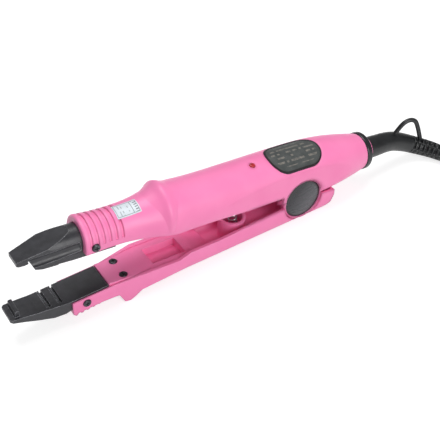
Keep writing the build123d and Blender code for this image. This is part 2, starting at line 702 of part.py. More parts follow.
def arm_side():
    """Side view of the arm with its walls filled, in the arm's frame."""
    tabs_end = ARM_FRONT_X + NOSE_TAB_COUNT * NOSE_TAB_PITCH
    return (
        (ARM_FRONT_X, NOSE_TOP_Z),
        (RAIL_FRONT_X, RAIL_FRONT_Z),
        (RAIL_MID_X, RAIL_MID_Z),
        (STEP_X - STEP_HALF_L, RAIL_REAR_Z),
        (STEP_X + STEP_HALF_L, STEP_TOP_Z),
        (CREST_X, CREST_Z),
        (CUP_X, CUP_TOP_Z),
        (-EAR_R, WALL_END_Z),
        (0, WALL_END_Z),
        (0, 0),
        (ARM_HEEL_X, 0),
        (ARM_HEEL_X, -4.6),
        (ARM_HEEL_X - 2.2, -9.6),
        (ARM_HEEL_X - 6.6, -13.0),
        (HEEL_FLAT_END_X, HEEL_UNDER_Z),
        (0, HEEL_UNDER_Z - 0.1),
        (WAIST_UNDER_X, WAIST_UNDER_Z),
        (BELLY_REAR_X, BELLY_Z),
        (BELLY_X, BELLY_Z),
        (SPUR_X + 9, BELLY_Z - 1.2),
        (SPUR_X + 5.4, BELLY_Z - 2.6),
        (SPUR_X + 2.0, SPUR_Z + 0.4),
        (SPUR_X, SPUR_Z),
        (SPUR_X - 1.5, SPUR_Z + 0.8),
        (SPUR_X - 4.2, BELLY_Z + 0.7),
        (tabs_end, NOSE_WAIST_Z),
        (ARM_FRONT_X, NOSE_UNDER_Z + 0.8),
    )


def arm_plan(wall=0.0, nose_wall=0.0):
    nose = ARM_NOSE_HALF_W - nose_wall
    wide = ARM_HALF_W - wall
    half = (
        (ARM_FRONT_X - 2, nose),
        (ARM_NARROW_X, nose),
        (ARM_WIDE_X, wide),
        (ARM_HEEL_X + 2, wide),
    )
    return half + tuple((x, -y) for x, y in reversed(half))


def under_z(x):
    """Height of the arm's underside behind its belly, in the arm's frame."""
    share = (x - BELLY_REAR_X) / (HEEL_FLAT_END_X - BELLY_REAR_X)
    return max(BELLY_Z, BELLY_Z + share * (HEEL_UNDER_Z - BELLY_Z))


def edge_rounding(wall=0.0):
    """What rounding the arm's lower edges takes away: a corner that widens towards the belly's end."""
    stations = ((EDGE_ROUND_X[0], EDGE_ROUND_R[0]), (EDGE_ROUND_X[1], EDGE_ROUND_R[1]),
                (ARM_HEEL_X + 5, EDGE_ROUND_R[1]))
    sections = []
    for x, radius in stations:
        r = radius - wall * (radius / EDGE_ROUND_R[1])
        side = -ARM_HALF_W + wall
        low = under_z(x) + wall
        middle = (x, side + r * (1 - sqrt(0.5)), low + r * (1 - sqrt(0.5)))
        arc = ThreePointArc((x, side, low + r), middle, (x, side + r, low))
        out = BIG / 40
        rest = Polyline((x, side + r, low), (x, side + r, low - out), (x, side - out, low - out),
                        (x, side - out, low + r), (x, side, low + r))
        sections.append(make_face(arc.edges() + rest.edges()))
    return both_sides(loft(sections, ruled=True))


def arm_inside():
    """The space inside the arm's walls, open at the top and at the front."""
    side = (
        (ARM_FRONT_X - 5, 20),
        (ARM_HEEL_X - ARM_WALL, 20),
        (ARM_HEEL_X - ARM_WALL, -5.0),
        (ARM_HEEL_X - 8.5, -11.2),
        (HEEL_FLAT_END_X, HEEL_UNDER_Z + ARM_FLOOR),
        (0, HEEL_UNDER_Z + ARM_FLOOR),
        (WAIST_UNDER_X, WAIST_UNDER_Z + ARM_FLOOR),
        (BELLY_REAR_X, BELLY_Z + ARM_FLOOR),
        (BELLY_X, BELLY_Z + ARM_FLOOR),
        (NOSE_WAIST_X, NOSE_WAIST_Z + 1.0),
        (JAW_BLOCK_END_X + 0.6, JAW_BLOCK_UNDER_Z - 0.1),
        (ARM_FRONT_X - 5, JAW_BLOCK_UNDER_Z - 0.1),
    )
    inside = along_y(side, BIG / 8) & along_z(arm_plan(ARM_WALL, ARM_NOSE_WALL), -BIG / 8, BIG / 8)
    for corner in edge_rounding(ARM_WALL):
        inside -= corner
    return inside


def make_arm_channel():
    arm = along_y(arm_side(), ARM_HALF_W + 2) & along_z(arm_plan(), -BIG / 8, BIG / 8)
    # Grip tabs under the nose.
    for i in range(NOSE_TAB_COUNT):
        x = ARM_FRONT_X + (i + 0.5) * NOSE_TAB_PITCH
        z = NOSE_UNDER_Z + (NOSE_WAIST_Z - NOSE_UNDER_Z) * (i + 0.5) / NOSE_TAB_COUNT
        arm += rod_y(NOSE_TAB_R, -ARM_NOSE_HALF_W + 0.4, ARM_NOSE_HALF_W - 0.4, x, z + NOSE_TAB_R * 0.4)
    for corner in edge_rounding():
        arm -= corner
    arm -= arm_inside()
    # Knuckles on the pin, with webs down to the floor.
    for y0, y1 in ((-KNUCKLE_OUT_Y, -KNUCKLE_IN_Y), (KNUCKLE_IN_Y, KNUCKLE_OUT_Y)):
        arm += rod_y(KNUCKLE_R, y0, y1)
        arm += block(-KNUCKLE_R, KNUCKLE_R, y0, y1, KNUCKLE_WEB_Z, 0)
    arm -= rod_y(PIN_R + RUN_FIT + BUSH_WALL, -KNUCKLE_OUT_Y - 1, KNUCKLE_OUT_Y + 1)
    # The spring's cup, and bosses for the cover's screws.
    floor_z = BELLY_Z + ARM_FLOOR
    cup = Pos(CUP_X, 0, CUP_TOP_Z) * Cylinder(
        CUP_R, CUP_DEEP, align=(Align.CENTER, Align.CENTER, Align.MAX))
    cup_bore = Pos(CUP_X, 0, CUP_TOP_Z + 1) * Cylinder(
        CUP_R - CUP_WALL, cup_floor_z() * -1 + CUP_TOP_Z + 1, align=(Align.CENTER, Align.CENTER, Align.MAX))
    arm += cup & along_y(arm_side(), ARM_HALF_W)
    arm += Pos(CUP_X, 0, CUP_TOP_Z) * Cylinder(CUP_R, 8, align=(Align.CENTER, Align.CENTER, Align.MAX))
    arm -= cup_bore
    for y in (-COVER_SCREW_Y, COVER_SCREW_Y):
        boss_top = JAW_TAIL_TOP_Z - JAW_TAIL_THICK - MICA_THICK
        arm += block(COVER_SCREW_X - COVER_BOSS_R, COVER_SCREW_X + COVER_BOSS_R, y - COVER_BOSS_R,
                     y + COVER_BOSS_R, floor_z - 0.5, boss_top)
        tip_z = COVER_TOP_Z - COVER_SCREW_SEAT - COVER_SCREW_LENGTH
        arm -= Pos(COVER_SCREW_X, y, boss_top) * Cylinder(SHANK_R, 2 * (boss_top - tip_z + SCREW_TIP_PLAY))
    # Room for the casing's ears, and the flat that stops against the casing.
    arm = ARM * arm
    for plate in both_sides(rod_y(EAR_R + EAR_GAP, EAR_IN_Y - EAR_GAP, BIG / 8)):
        arm -= HINGE * plate
    stop_z = HEEL_SEAM_Z - STOP_GAP
    arm -= HANDLE * block(EAR_R - 2.0, BIG / 2, -BIG / 8, BIG / 8, stop_z, BIG / 8)
    # Flats on the heel and on the finger stop where the iron rests.
    arm -= block(-BIG, BIG, -BIG / 2, BIG / 2, -BIG / 8, 0)
    for hole in both_sides(rod_y(SHANK_R + SCREW_HOLE_PLAY, ARM_NOSE_HALF_W - 4, ARM_NOSE_HALF_W + 2,
                                 ARM_SCREW_X, ARM_SCREW_Z)):
        arm -= ARM * hole
    for seat in both_sides(rod_y(HEAD_R + SCREW_HOLE_PLAY, ARM_NOSE_HALF_W - ARM_SCREW_SEAT,
                                 ARM_NOSE_HALF_W + 2, ARM_SCREW_X, ARM_SCREW_Z)):
        arm -= ARM * seat
    return arm


def cup_floor_z():
    """Height of the spring's seat in the cup, in the arm's frame."""
    share = (CUP_X - BELLY_REAR_X) / (WAIST_UNDER_X - BELLY_REAR_X)
    return BELLY_Z + share * (WAIST_UNDER_Z - BELLY_Z) + ARM_FLOOR + CUP_SEAT


def make_hinge_bushes():
    bush = rod_y(PIN_R + RUN_FIT + BUSH_WALL, KNUCKLE_IN_Y, KNUCKLE_OUT_Y)
    bush -= rod_y(PIN_R + RUN_FIT, KNUCKLE_IN_Y - 1, KNUCKLE_OUT_Y + 1)
    return [HINGE * b for b in both_sides(bush)]


def make_arm_cover():
    """Inner plate of the arm, with a pocket, that covers the jaw's tail."""
    under = COVER_TOP_Z - COVER_THICK
    side = (
        (COVER_FRONT_X, COVER_TOP_Z),
        (COVER_FLAT_END_X, COVER_TOP_Z),
        (COVER_END_X, COVER_END_Z),
        (COVER_END_X, COVER_END_Z - COVER_THICK),
        (COVER_FLAT_END_X - 1, under),
        (COVER_FRONT_X, under),
    )
    plan = along_z(arm_plan(ARM_WALL + SHELL_GAP, ARM_NOSE_WALL + SHELL_GAP), -BIG / 8, BIG / 8)
    cover = along_y(side, ARM_HALF_W) & plan
    for corner in edge_rounding(ARM_WALL + SHELL_GAP):
        cover -= corner
    tub_low = COVER_TOP_Z - POCKET_DEPTH - POCKET_WALL
    cover += block(POCKET_FRONT_X - POCKET_WALL, POCKET_REAR_X + POCKET_WALL, -POCKET_HALF_W - POCKET_WALL,
                   POCKET_HALF_W + POCKET_WALL, tub_low, COVER_TOP_Z - 0.5)
    cover -= block(POCKET_FRONT_X, POCKET_REAR_X, -POCKET_HALF_W, POCKET_HALF_W,
                   COVER_TOP_Z - POCKET_DEPTH, COVER_TOP_Z + 1)
    for y in (-COVER_SCREW_Y, COVER_SCREW_Y):
        cover -= Pos(COVER_SCREW_X, y, COVER_TOP_Z) * Cylinder(SHANK_R + SCREW_HOLE_PLAY, 8)
        seat = Cylinder(HEAD_R + SCREW_HOLE_PLAY, 2 * COVER_SCREW_SEAT)
        cover -= Pos(COVER_SCREW_X, y, COVER_TOP_Z) * seat
    return ARM * cover


def make_cover_screws():
    return [ARM * Pos(COVER_SCREW_X, y, COVER_TOP_Z - COVER_SCREW_SEAT) * screw(COVER_SCREW_LENGTH)
            for y in (-COVER_SCREW_Y, COVER_SCREW_Y)]


def make_arm_side_screws():
    place = Pos(ARM_SCREW_X, -ARM_NOSE_HALF_W + ARM_SCREW_SEAT, ARM_SCREW_Z) * Rot(90, 0, 0)
    return [ARM * s for s in both_sides(place * screw(ARM_SCREW_LENGTH))]


def jaw_inner_half_w():
    """Half width of the jaw where it lies between the arm's walls."""
    return ARM_NOSE_HALF_W - ARM_NOSE_WALL - JAW_SIDE_PLAY


def make_lower_jaw():
    side = (
        (JAW_TIP_X, JAW_TOP_FRONT_Z),
        (JAW_DIP_X[0], JAW_DIP_Z + 0.4),
        (JAW_DIP_X[1], JAW_DIP_Z),
        (JAW_DIP_X[2], JAW_DIP_Z + 0.1),
        (JAW_RISE_X, JAW_RISE_Z),
        (COVER_FRONT_X - 0.4, JAW_TOP_REAR_Z),
        (COVER_FRONT_X - 0.4, JAW_TAIL_TOP_Z),
        (JAW_TAIL_END_X, JAW_TAIL_TOP_Z),
        (JAW_TAIL_END_X, JAW_TAIL_TOP_Z - JAW_TAIL_THICK),
        (JAW_BLOCK_END_X, JAW_TAIL_TOP_Z - JAW_TAIL_THICK),
        (JAW_BLOCK_END_X, JAW_BLOCK_UNDER_Z),
        *reversed(JAW_HEEL),
        (JAW_KEEL_X, JAW_KEEL_Z),
        *reversed(JAW_CHIN),
        (JAW_TIP_X, JAW_TOP_FRONT_Z - JAW_LIP),
    )
    inner = jaw_inner_half_w()
    half = ((JAW_TIP_X, JAW_TIP_HALF_W - JAW_CORNER), (JAW_TIP_X + JAW_CORNER, JAW_TIP_HALF_W),
            (JAW_MID_X, JAW_MID_HALF_W), (ARM_FRONT_X - 0.5, inner), (JAW_TAIL_END_X, inner))
    plan = half + tuple((x, -y) for x, y in reversed(half))
    jaw = along_y(side, ARM_HALF_W) & along_z(plan, -BIG / 8, BIG / 8)
    hook = along_y(((HOOK_X - HOOK_THICK, JAW_DIP_Z - 0.5), (HOOK_X - HOOK_THICK + 0.7, HOOK_TOP_Z),
                    (HOOK_X, HOOK_TOP_Z), (HOOK_X, JAW_DIP_Z - 0.5)), HOOK_HALF_W)
    jaw += fillet(hook.edges().group_by(Axis.Z)[-1].filter_by(Axis.Y), HOOK_ROUND)
    for x in GROOVE_X:
        jaw -= block(x - GROOVE_W / 2, x + GROOVE_W / 2, -JAW_MID_HALF_W + GROOVE_STOP, BIG / 8,
                     JAW_DIP_Z - GROOVE_DEPTH, 0)
        line_x = x - GROOVE_LINE_X
        jaw -= block(line_x - GROOVE_LINE_W / 2, line_x + GROOVE_LINE_W / 2, -JAW_MID_HALF_W + GROOVE_STOP,
                     BIG / 8, JAW_DIP_Z - GROOVE_LINE_DEPTH, 0)
    for y in (-COVER_SCREW_Y, COVER_SCREW_Y):
        hole = Cylinder(SHANK_R + SCREW_HOLE_PLAY, 4 * JAW_TAIL_THICK)
        jaw -= Pos(COVER_SCREW_X, y, JAW_TAIL_TOP_Z) * hole
    tip_y = ARM_NOSE_HALF_W - ARM_SCREW_SEAT - ARM_SCREW_LENGTH - SCREW_TIP_PLAY
    for hole in both_sides(rod_y(SHANK_R, tip_y, inner + 2, ARM_SCREW_X, ARM_SCREW_Z)):
        jaw -= hole
    return ARM * jaw


def make_jaw_insulator():
    """Mica sheet between the jaw's tail and the arm's bosses."""
    top = JAW_TAIL_TOP_Z - JAW_TAIL_THICK
    inner = jaw_inner_half_w()
    sheet = block(JAW_BLOCK_END_X + 0.3, JAW_TAIL_END_X, -inner, inner, top - MICA_THICK, top)
    for y in (-COVER_SCREW_Y, COVER_SCREW_Y):
        sheet -= Pos(COVER_SCREW_X, y, top) * Cylinder(SHANK_R + SCREW_HOLE_PLAY, 4 * MICA_THICK)
    return ARM * sheet


def make_return_spring():
    """Compression spring that holds the tongs open, between the cup and the casing's underside."""
    foot = (ARM * Pos(CUP_X, 0, cup_floor_z())).position
    socket_x = CUP_X * cos(radians(OPEN_ANGLE))
    head = (HANDLE * Pos(socket_x, 0, GRIP_UNDER_Z)).position
    play = SPRING_WIRE_R + SPRING_PLAY + SPRING_R * sin(radians(ARM_TILT + OPEN_ANGLE))
    low = foot.Z + play
    high = head.Z - play
    line = Helix(pitch=(high - low) / SPRING_TURNS, height=high - low, radius=SPRING_R)
    start = line @ 0
    section = Plane(origin=start, z_dir=line % 0) * Circle(SPRING_WIRE_R)
    return Pos((foot.X + head.X) / 2, 0, low) * sweep(section, path=line)


def make_tail_ring():
    ring = rod_x(RING_R, TAIL_X, TAIL_X + RING_LENGTH)
    ring = fillet(ring.edges().filter_by(GeomType.CIRCLE), RING_LENGTH * 0.3)
    ring -= rod_x(STEM_R + RUN_FIT, TAIL_X - 1, TAIL_X + RING_LENGTH + 1)
    return HANDLE * ring


def hub_x():
    return TAIL_X + RING_LENGTH + HUB_GAP


def make_swivel_hub():
    """Disc behind the ring, with the stem that turns in the casing's tail."""
    hub = rod_x(HUB_R, hub_x(), hub_x() + HUB_LENGTH)
    hub = fillet(hub.edges().filter_by(GeomType.CIRCLE), 0.5)
    hub += rod_x(STEM_R, TAIL_X - TAIL_WALL - CLIP_THICK - CLIP_PLAY - 1.0, hub_x() + 1)
    hub -= rod_x(CORD_D / 2 - 0.5, TAIL_X - 12, hub_x() + HUB_LENGTH + 1)
    return HANDLE * hub


def make_swivel_clip():
    x1 = TAIL_X - TAIL_WALL - CLIP_PLAY
    clip = rod_x(CLIP_R, x1 - CLIP_THICK, x1) - rod_x(STEM_R + PIN_FIT, x1 - CLIP_THICK - 1, x1 + 1)
    clip -= block(x1 - CLIP_THICK - 1, x1 + 1, -1.4, 1.4, 0, BIG / 8)
    return HANDLE * clip


def boot_stations():
    """Points, directions and radii along the boot, from the hub's face to the sleeve's end."""
    root = (HANDLE * Pos(hub_x() + HUB_LENGTH, 0, 0)).position
    points = [root] + [Vector(*p) for p in BOOT_ROUTE]
    axis = (HANDLE * Pos(hub_x() + HUB_LENGTH + 1, 0, 0)).position - root
    directions = [axis.normalized()]
    for before, after in zip(points[:-2], points[2:]):
        directions.append((after - before).normalized())
    directions.append((points[-1] - points[-2]).normalized())
    return list(zip(points, directions, BOOT_RADII))


def ring_face(point, direction, radius):
    """A round section square to a direction, its X axis kept level."""
    level = direction.cross(Vector(0, 0, 1)).normalized()
    return Plane(origin=point, x_dir=level, z_dir=direction) * Circle(radius)


def make_cord_boot():
    """Curved boot: a smooth root, then a tapering sleeve cut into ribs that lets the cord bend."""
    stations = boot_stations()
    sections = [ring_face(*s) for s in stations[:BOOT_SMOOTH + 1]]
    sleeve = stations[BOOT_SMOOTH:]
    path = FilletPolyline(*[p for p, d, r in sleeve], radius=BOOT_BEND)
    root_r, end_r = sleeve[0][2], sleeve[-1][2]
    for i in range(BOOT_RIBS):
        groove_end = i + 1 - BOOT_RIB_SHARE
        for mark, drop in ((i + BOOT_RIB_EDGE, BOOT_CORE_DROP), (groove_end - BOOT_RIB_EDGE, BOOT_CORE_DROP),
                           (groove_end, 0), (i + 1, 0)):
            at = mark / BOOT_RIBS
            sections.append(ring_face(path @ at, path % at, root_r + (end_r - root_r) * at - drop))
    return loft(sections, ruled=True)


def make_hanging_loop():
    path = FilletPolyline(*LOOP_ROUTE, radius=LOOP_BEND)
    section = Plane(origin=path @ 0, z_dir=path % 0) * Circle(LOOP_R)
    return sweep(section, path=path) - make_cord_boot()


def cord_tube(points, ends=()):
    """A round tube along straight runs joined by the largest tangent arcs that the runs allow."""
    vectors = [Vector(*p) for p in points]
    radii = []
    for a, b, c in zip(vectors, vectors[1:], vectors[2:]):
        turn = (b - a).get_angle(c - b)
        shorter = min((b - a).length, (c - b).length)
        radii.append(0.45 * shorter / (sin(radians(turn / 2)) / cos(radians(turn / 2))))
    path = FilletPolyline(*vectors, radius=radii)
    section = Plane(origin=path @ 0, z_dir=path % 0) * Circle(CORD_D / 2)
    tube = sweep(section, path=path)
    expected = pi * (CORD_D / 2) ** 2 * path.length
    print("cord radii", [round(r) for r in radii], "length", round(path.length, 1),
          "volume ratio", round(tube.volume / expected, 4))
    return tube


def hank_point(mark):
    """Centre of the cord at a quarter turn of the hank, and its direction there."""
    turn = mark / 4
    spread = abs(turn % 2 - 1)
    layer = turn - 0.5 if mark % 4 == 0 and mark > 0 else floor(turn)
    height = HANK_LIFT + CORD_D / 2 + HANK_LAYER * layer
    side = (0, 1, 0, -1)[mark % 4]
    end = (-1, 0, 1, 0)[mark % 4]
    x = side * (HANK_HALF_L + HANK_PITCH * spread)
    y = end * (HANK_WAIST + HANK_WAIST_PITCH * spread)
    climb = HANK_LAYER / HANK_HALF_L if mark % 4 == 0 and mark > 0 else 0.0
    point = Vector(HANK_CENTRE[0] + x, HANK_CENTRE[1] + y, height)
    return point, Vector(-end, side, climb).normalized()


def hank_end(layer):
    """Where the cord enters the first layer of the hank or leaves the last, heading along +X."""
    spread = 1.25 if layer == 0 else 0.9
    return Vector(HANK_CENTRE[0] - HANK_FOLD_X, HANK_CENTRE[1] - HANK_FOLD_R - spread * HANK_PITCH,
                  HANK_LIFT + CORD_D / 2 + HANK_LAYER * layer)


def biarc(start, start_dir, end, end_dir):
    """Two arcs that leave one point and reach another in the given directions."""
    span = end - start
    total = start_dir + end_dir
    a = 2 * (1 - start_dir.dot(end_dir))
    b = span.dot(total)
    if a < 1e-6:
        reach = span.dot(span) / (2 * b)
    else:
        reach = (-b + sqrt(b * b + a * span.dot(span))) / a
    middle = (start + start_dir * reach + end - end_dir * reach) * 0.5
    first = TangentArc(start, middle, tangent=start_dir)
    second = TangentArc(middle, end, tangent=first % 1)
    return [first, second]


def make_cord_hank():
    """The folded cord, as one unbroken tube: each layer holds one loop, drawn in at the waist."""
    ahead = Vector(1, 0, 0)
    first, last = hank_end(0), hank_end(HANK_LAYERS - 1)
    marks = [hank_point(m) for m in range(HANK_LAYERS * 4)]
    edges = [Line(first - ahead * CORD_D, first)]
    edges += biarc(first, ahead, *marks[0])
    for before, after in zip(marks, marks[1:]):
        edges += biarc(*before, *after)
    edges += biarc(*marks[-1], last, ahead)
    edges += [Line(last, last + ahead * CORD_D)]
    path = Wire([piece.edge() for piece in edges])
    section = Plane(origin=first - ahead * CORD_D, z_dir=ahead) * Circle(CORD_D / 2)
    hank = sweep(section, path=path)
    count = 1200
    samples = [path @ (i / count) for i in range(count + 1)]
    far = round(count * 5 * CORD_D / path.length)
    pairs = [(i, j) for i in range(0, count, 3) for j in range(i + far, count, 3)]
    least = min((samples[i] - samples[j]).length for i, j in pairs)
    print("hank length", round(path.length, 1), "least gap", round(least - CORD_D, 2),
          "tightest", round(min(e.radius for e in path.edges() if e.geom_type == GeomType.CIRCLE), 1),
          "volume ratio", round(hank.volume / (pi * (CORD_D / 2) ** 2 * path.length), 4))
    return hank


def make_power_cord():
    return cord_tube((BOOT_ROUTE[-1], *CORD_TO_HANK, tuple(hank_end(0) - Vector(CORD_D, 0, 0))))


def make_cord_end():
    end = hank_end(HANK_LAYERS - 1) + Vector(CORD_D, 0, 0)
    return cord_tube((tuple(end), *CORD_TO_PLUG, PLUG_AT))


def make_cord_tie():
    """A flat band round the hank's waist."""
    reach = CORD_D / 2 + TIE_GAP
    near = -HANK_WAIST - HANK_WAIST_PITCH - reach
    far = HANK_WAIST + HANK_WAIST_PITCH / 2 + reach
    low = HANK_LIFT - TIE_GAP
    high = HANK_LIFT + CORD_D + HANK_LAYER * (HANK_LAYERS - 1) + TIE_GAP
    half = TIE_WIDTH / 2
    band = block(-half, half, near - TIE_THICK, far + TIE_THICK, low - TIE_THICK, high + TIE_THICK)
    band -= block(-half - 1, half + 1, near, far, low, high)
    return Pos(HANK_CENTRE[0], HANK_CENTRE[1], 0) * band


def plug_place():
    """Where the cord enters the plug, with X along the cord's last run."""
    before = CORD_TO_PLUG[-1]
    return Pos(*PLUG_AT) * Rot(0, 0, degrees(atan2(PLUG_AT[1] - before[1], PLUG_AT[0] - before[0])))


def make_plug_body():
    """Flat two-pin plug: a round neck where the cord enters, then a body with rounded edges."""
    neck = rod_x(PLUG_NECK_R, 0, PLUG_NECK_LENGTH + 1)
    body = block(PLUG_NECK_LENGTH, PLUG_LENGTH, -PLUG_W / 2, PLUG_W / 2, -PLUG_H / 2, PLUG_H / 2)
    body = fillet(body.edges().filter_by(Axis.X), PLUG_H * 0.4)
    plug = neck + body
    for y in (-PLUG_PIN_PITCH / 2, PLUG_PIN_PITCH / 2):
        plug -= rod_x(PLUG_ROOT_R, PLUG_LENGTH - PLUG_PIN_ROOT, PLUG_LENGTH + 1, y)
    return plug_place() * plug


def make_plug_pins():
    pins = []
    for y in (-PLUG_PIN_PITCH / 2, PLUG_PIN_PITCH / 2):
        pin = rod_x(PLUG_PIN_R, PLUG_LENGTH, PLUG_LENGTH + PLUG_PIN_LENGTH, y)
        pin = fillet(pin.edges().group_by(Axis.X)[-1], PLUG_PIN_R * 0.7)
        pin += rod_x(PLUG_ROOT_R, PLUG_LENGTH - PLUG_PIN_ROOT, PLUG_LENGTH + 0.1, y)
        pins.append(plug_place() * pin)
    return pins


NODES = {
    "upper_shell": make_upper_shell,
    "underside_cover": make_underside_cover,
    "underside_screws": make_underside_screws,
    "neck_screws": make_neck_screws,
    "heater_tip": make_heater_tip,
    "heating_element": make_heating_element,
    "rear_sleeve": make_rear_sleeve,
    "lead_wires": make_lead_wires,
    "circuit_board": make_circuit_board,
    "board_posts": make_board_posts,
    "board_parts": make_board_parts,
    "indicator_lens": make_indicator_lens,
    "indicator_lamp": make_led,
    "rating_plate": make_rating_plate,
    "front_label": make_front_label,
    "hinge_pin": make_hinge_pin,
    "hinge_cap_near": lambda: make_hinge_cap(-1),
    "hinge_cap_far": lambda: make_hinge_cap(1),
    "tail_ring": make_tail_ring,
    "arm_channel": make_arm_channel,
    "hinge_bushes": make_hinge_bushes,
    "arm_cover": make_arm_cover,
    "cover_screws": make_cover_screws,
    "arm_side_screws": make_arm_side_screws,
    "lower_jaw": make_lower_jaw,
    "jaw_insulator": make_jaw_insulator,
    "return_spring": make_return_spring,
    "swivel_hub": make_swivel_hub,
    "swivel_clip": make_swivel_clip,
    "cord_boot": make_cord_boot,
    "hanging_loop": make_hanging_loop,
    "power_cord": make_power_cord,
    "cord_hank": make_cord_hank,
    "cord_end": make_cord_end,
    "cord_tie": make_cord_tie,
    "plug_body": make_plug_body,
    "plug_pins": make_plug_pins,
}

os.makedirs("parts", exist_ok=True)
for name, make in NODES.items():
    shape = make()
    if isinstance(shape, list):
        pieces = [s.solids() for s in shape]
        shape = Compound(children=[Compound(children=list(p)) if len(p) > 1 else p[0] for p in pieces])
    export_step(shape, f"parts/{name}.step")
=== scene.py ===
from math import cos, pi, radians, sin

import bmesh
import bpy
from mathutils import Matrix, Vector


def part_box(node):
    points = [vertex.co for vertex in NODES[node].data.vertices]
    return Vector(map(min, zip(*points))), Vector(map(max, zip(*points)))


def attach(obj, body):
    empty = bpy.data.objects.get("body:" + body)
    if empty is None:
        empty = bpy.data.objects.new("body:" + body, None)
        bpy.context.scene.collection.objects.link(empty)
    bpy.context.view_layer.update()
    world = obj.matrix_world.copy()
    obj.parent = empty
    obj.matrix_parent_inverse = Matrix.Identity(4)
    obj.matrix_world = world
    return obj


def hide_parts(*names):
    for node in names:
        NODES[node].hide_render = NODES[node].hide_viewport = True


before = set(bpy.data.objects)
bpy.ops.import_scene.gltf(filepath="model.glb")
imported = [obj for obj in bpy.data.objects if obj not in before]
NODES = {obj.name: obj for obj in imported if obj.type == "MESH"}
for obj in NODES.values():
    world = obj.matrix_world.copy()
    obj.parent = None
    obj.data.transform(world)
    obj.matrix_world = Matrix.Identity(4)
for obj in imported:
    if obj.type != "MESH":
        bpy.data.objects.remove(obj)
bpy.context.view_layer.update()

# Metres, in the frame of the iron: +X towards the cord, +Z up, the iron lying on its lower arm.
MM = 0.001

# Where the hinge pin is, and how the lower arm and the handle tilt about it.
HINGE = Vector((61.7, 0.0, 15.42)) * MM
ARM_TILT = radians(4.854)
HANDLE_TILT = radians(8.354)
AXIS_OVER_HINGE = 12.2 * MM
ARM_FRAME = Matrix.Translation(HINGE) @ Matrix.Rotation(ARM_TILT, 4, "Y")
HANDLE_FRAME = (Matrix.Translation(HINGE) @ Matrix.Rotation(HANDLE_TILT, 4, "Y")
                @ Matrix.Translation((0, 0, AXIS_OVER_HINGE)))

# Camera, fitted to the photograph: its place in the arm's frame, its aim and its off-centre lens.
IMAGE_PX = 440
CAMERA_AT = Vector((-263.5, -319.9, 301.2)) * MM
CAMERA_AZIMUTH = radians(-31.16)
CAMERA_ELEVATION = radians(38.84)
FOCAL_PX = 860.92
CENTRE_PX = (188.4, 226.4)
SENSOR_MM = 36.0

# Lamps as place, target, size in metres and watts, and the light from the world and the floor.
LAMPS = {
    "over": ((0.1, 0.25, 1.1), (0, 0, 0), 0.8, 7.0),
    "front": ((0.1, -1.1, 0.5), (0, 0, 0.02), 0.8, 8.0),
}
WORLD_LIGHT = 0.3
WORLD_SEEN = 1.0
FLOOR_GREY = 0.55
FLOOR_GLOW_SEEN = 0.7

# Sizes of the casing, plate, label and cap that their finishes follow.
SOFT_SIDES_X = (14 * MM, 92 * MM)
SOFT_SIDES_R = 3.5 * MM
NECK_END_X = -48 * MM
NECK_R = 0.6 * MM
SHELL_EDGE_R = 0.5 * MM
PLATE_HALF_L = 17.8 * MM
PLATE_HALF_W = 10.8 * MM
PLATE_CORNER = 10.0 * MM
PLATE_RIM = 0.9 * MM
PLATE_MARGIN = 3.4 * MM
PLATE_BAR_PITCH = (1.5 * MM, 3.1 * MM)
PLATE_TURN = radians(13.0)
LABEL_TURN = radians(14.0)
LABEL_FRAME = (6.0 * MM, 3.6 * MM)
LABEL_FRAME_W = 0.3 * MM
LABEL_DIVIDER_X = 2.9 * MM
LABEL_RIGHT_X = 3.6 * MM
LABEL_RIGHT_PITCH = (0.9 * MM, 1.5 * MM)
LABEL_LEFT_X = -1.9 * MM
LABEL_LEFT_HALF = 3.2 * MM
LABEL_LEFT_PITCH = (0.8 * MM, 1.6 * MM)
CAP_CROWN_R = 70 * MM
CAP_RIM_R = 10.6 * MM
# The span across the cap over which its painted light fades.
CAP_PAINTED_LIGHT_SPAN = 9 * MM

# The cord's facts. Its route repeats the model's points.
CORD_D = 6.0 * MM
BOOT_ROUTE = ((125.5, 0.0, 18.2), (132.6, 0.0, 17.6), (140.1, 0.0, 15.6), (148.8, -1.5, 11.5),
              (154.7, -4.2, 8.6), (159.4, -8.2, 6.9), (162.9, -13.0, 6.0), (165.2, -18.2, 5.4),
              (168.0, -23.4, 5.0), (172.1, -27.6, 4.7))
BOOT_RADII = (6.6, 6.6, 6.3, 6.1, 5.9, 5.6, 5.4, 5.2, 4.9, 4.5, 4.1)
BOOT_ROOT_X = 54.1 * MM
BOOT_RIBS = 10
BOOT_RIBS_FROM = 0.53
BOOT_STEPS = 260
BOOT_WINDOW_ROWS = 6
BOOT_WINDOW_DEPTH = 1.5
BOOT_WINDOW_LONG = (0.28, 0.72)
BOOT_WINDOW_ROUND = (0.14, 0.86)
BOOT_WINDOW_EDGE = 0.1
BOOT_END_ROUND = 0.3
LOOP_ROUTE = ((138.4, 0.0, 17.4), (143.0, -1.0, 23.6), (147.0, -2.0, 28.0), (152.0, -3.2, 28.6),
              (155.6, -4.4, 25.0), (158.4, -6.0, 10.4))
LOOP_R = 1.4 * MM
CORD_TO_HANK = ((177.0, -32.6, 4.35), (186.2, -38.7, 3.8), (198.7, -42.2, 3.6))
CORD_TO_PLUG = ((233.7, -39.8, 23.4), (247.7, -36.5, 26.5), (263.2, -29.0, 30.6), (276.7, -22.4, 31.9))
PLUG_AT = (287.7, -17.1, 31.9)
HANK_CENTRE = (270.7, -15.5)
HANK_REACH = 76.6
HANK_WAIST = 7.5
HANK_SWELL = 31.0
HANK_PITCH = 6.8
HANK_WAIST_PITCH = 7.8
HANK_LAYERS = 4
HANK_LAYER = 6.6
HANK_LOW = 3.6
HANK_STEPS = 24
CORD_INTO_HANK = ((228.7, -42.2, 3.6), (256.7, -30.8, 3.6))
CORD_OUT_OF_HANK = ((190.9, -25.4, 23.4), (199.6, -36.0, 23.4), (212.0, -39.8, 23.4))


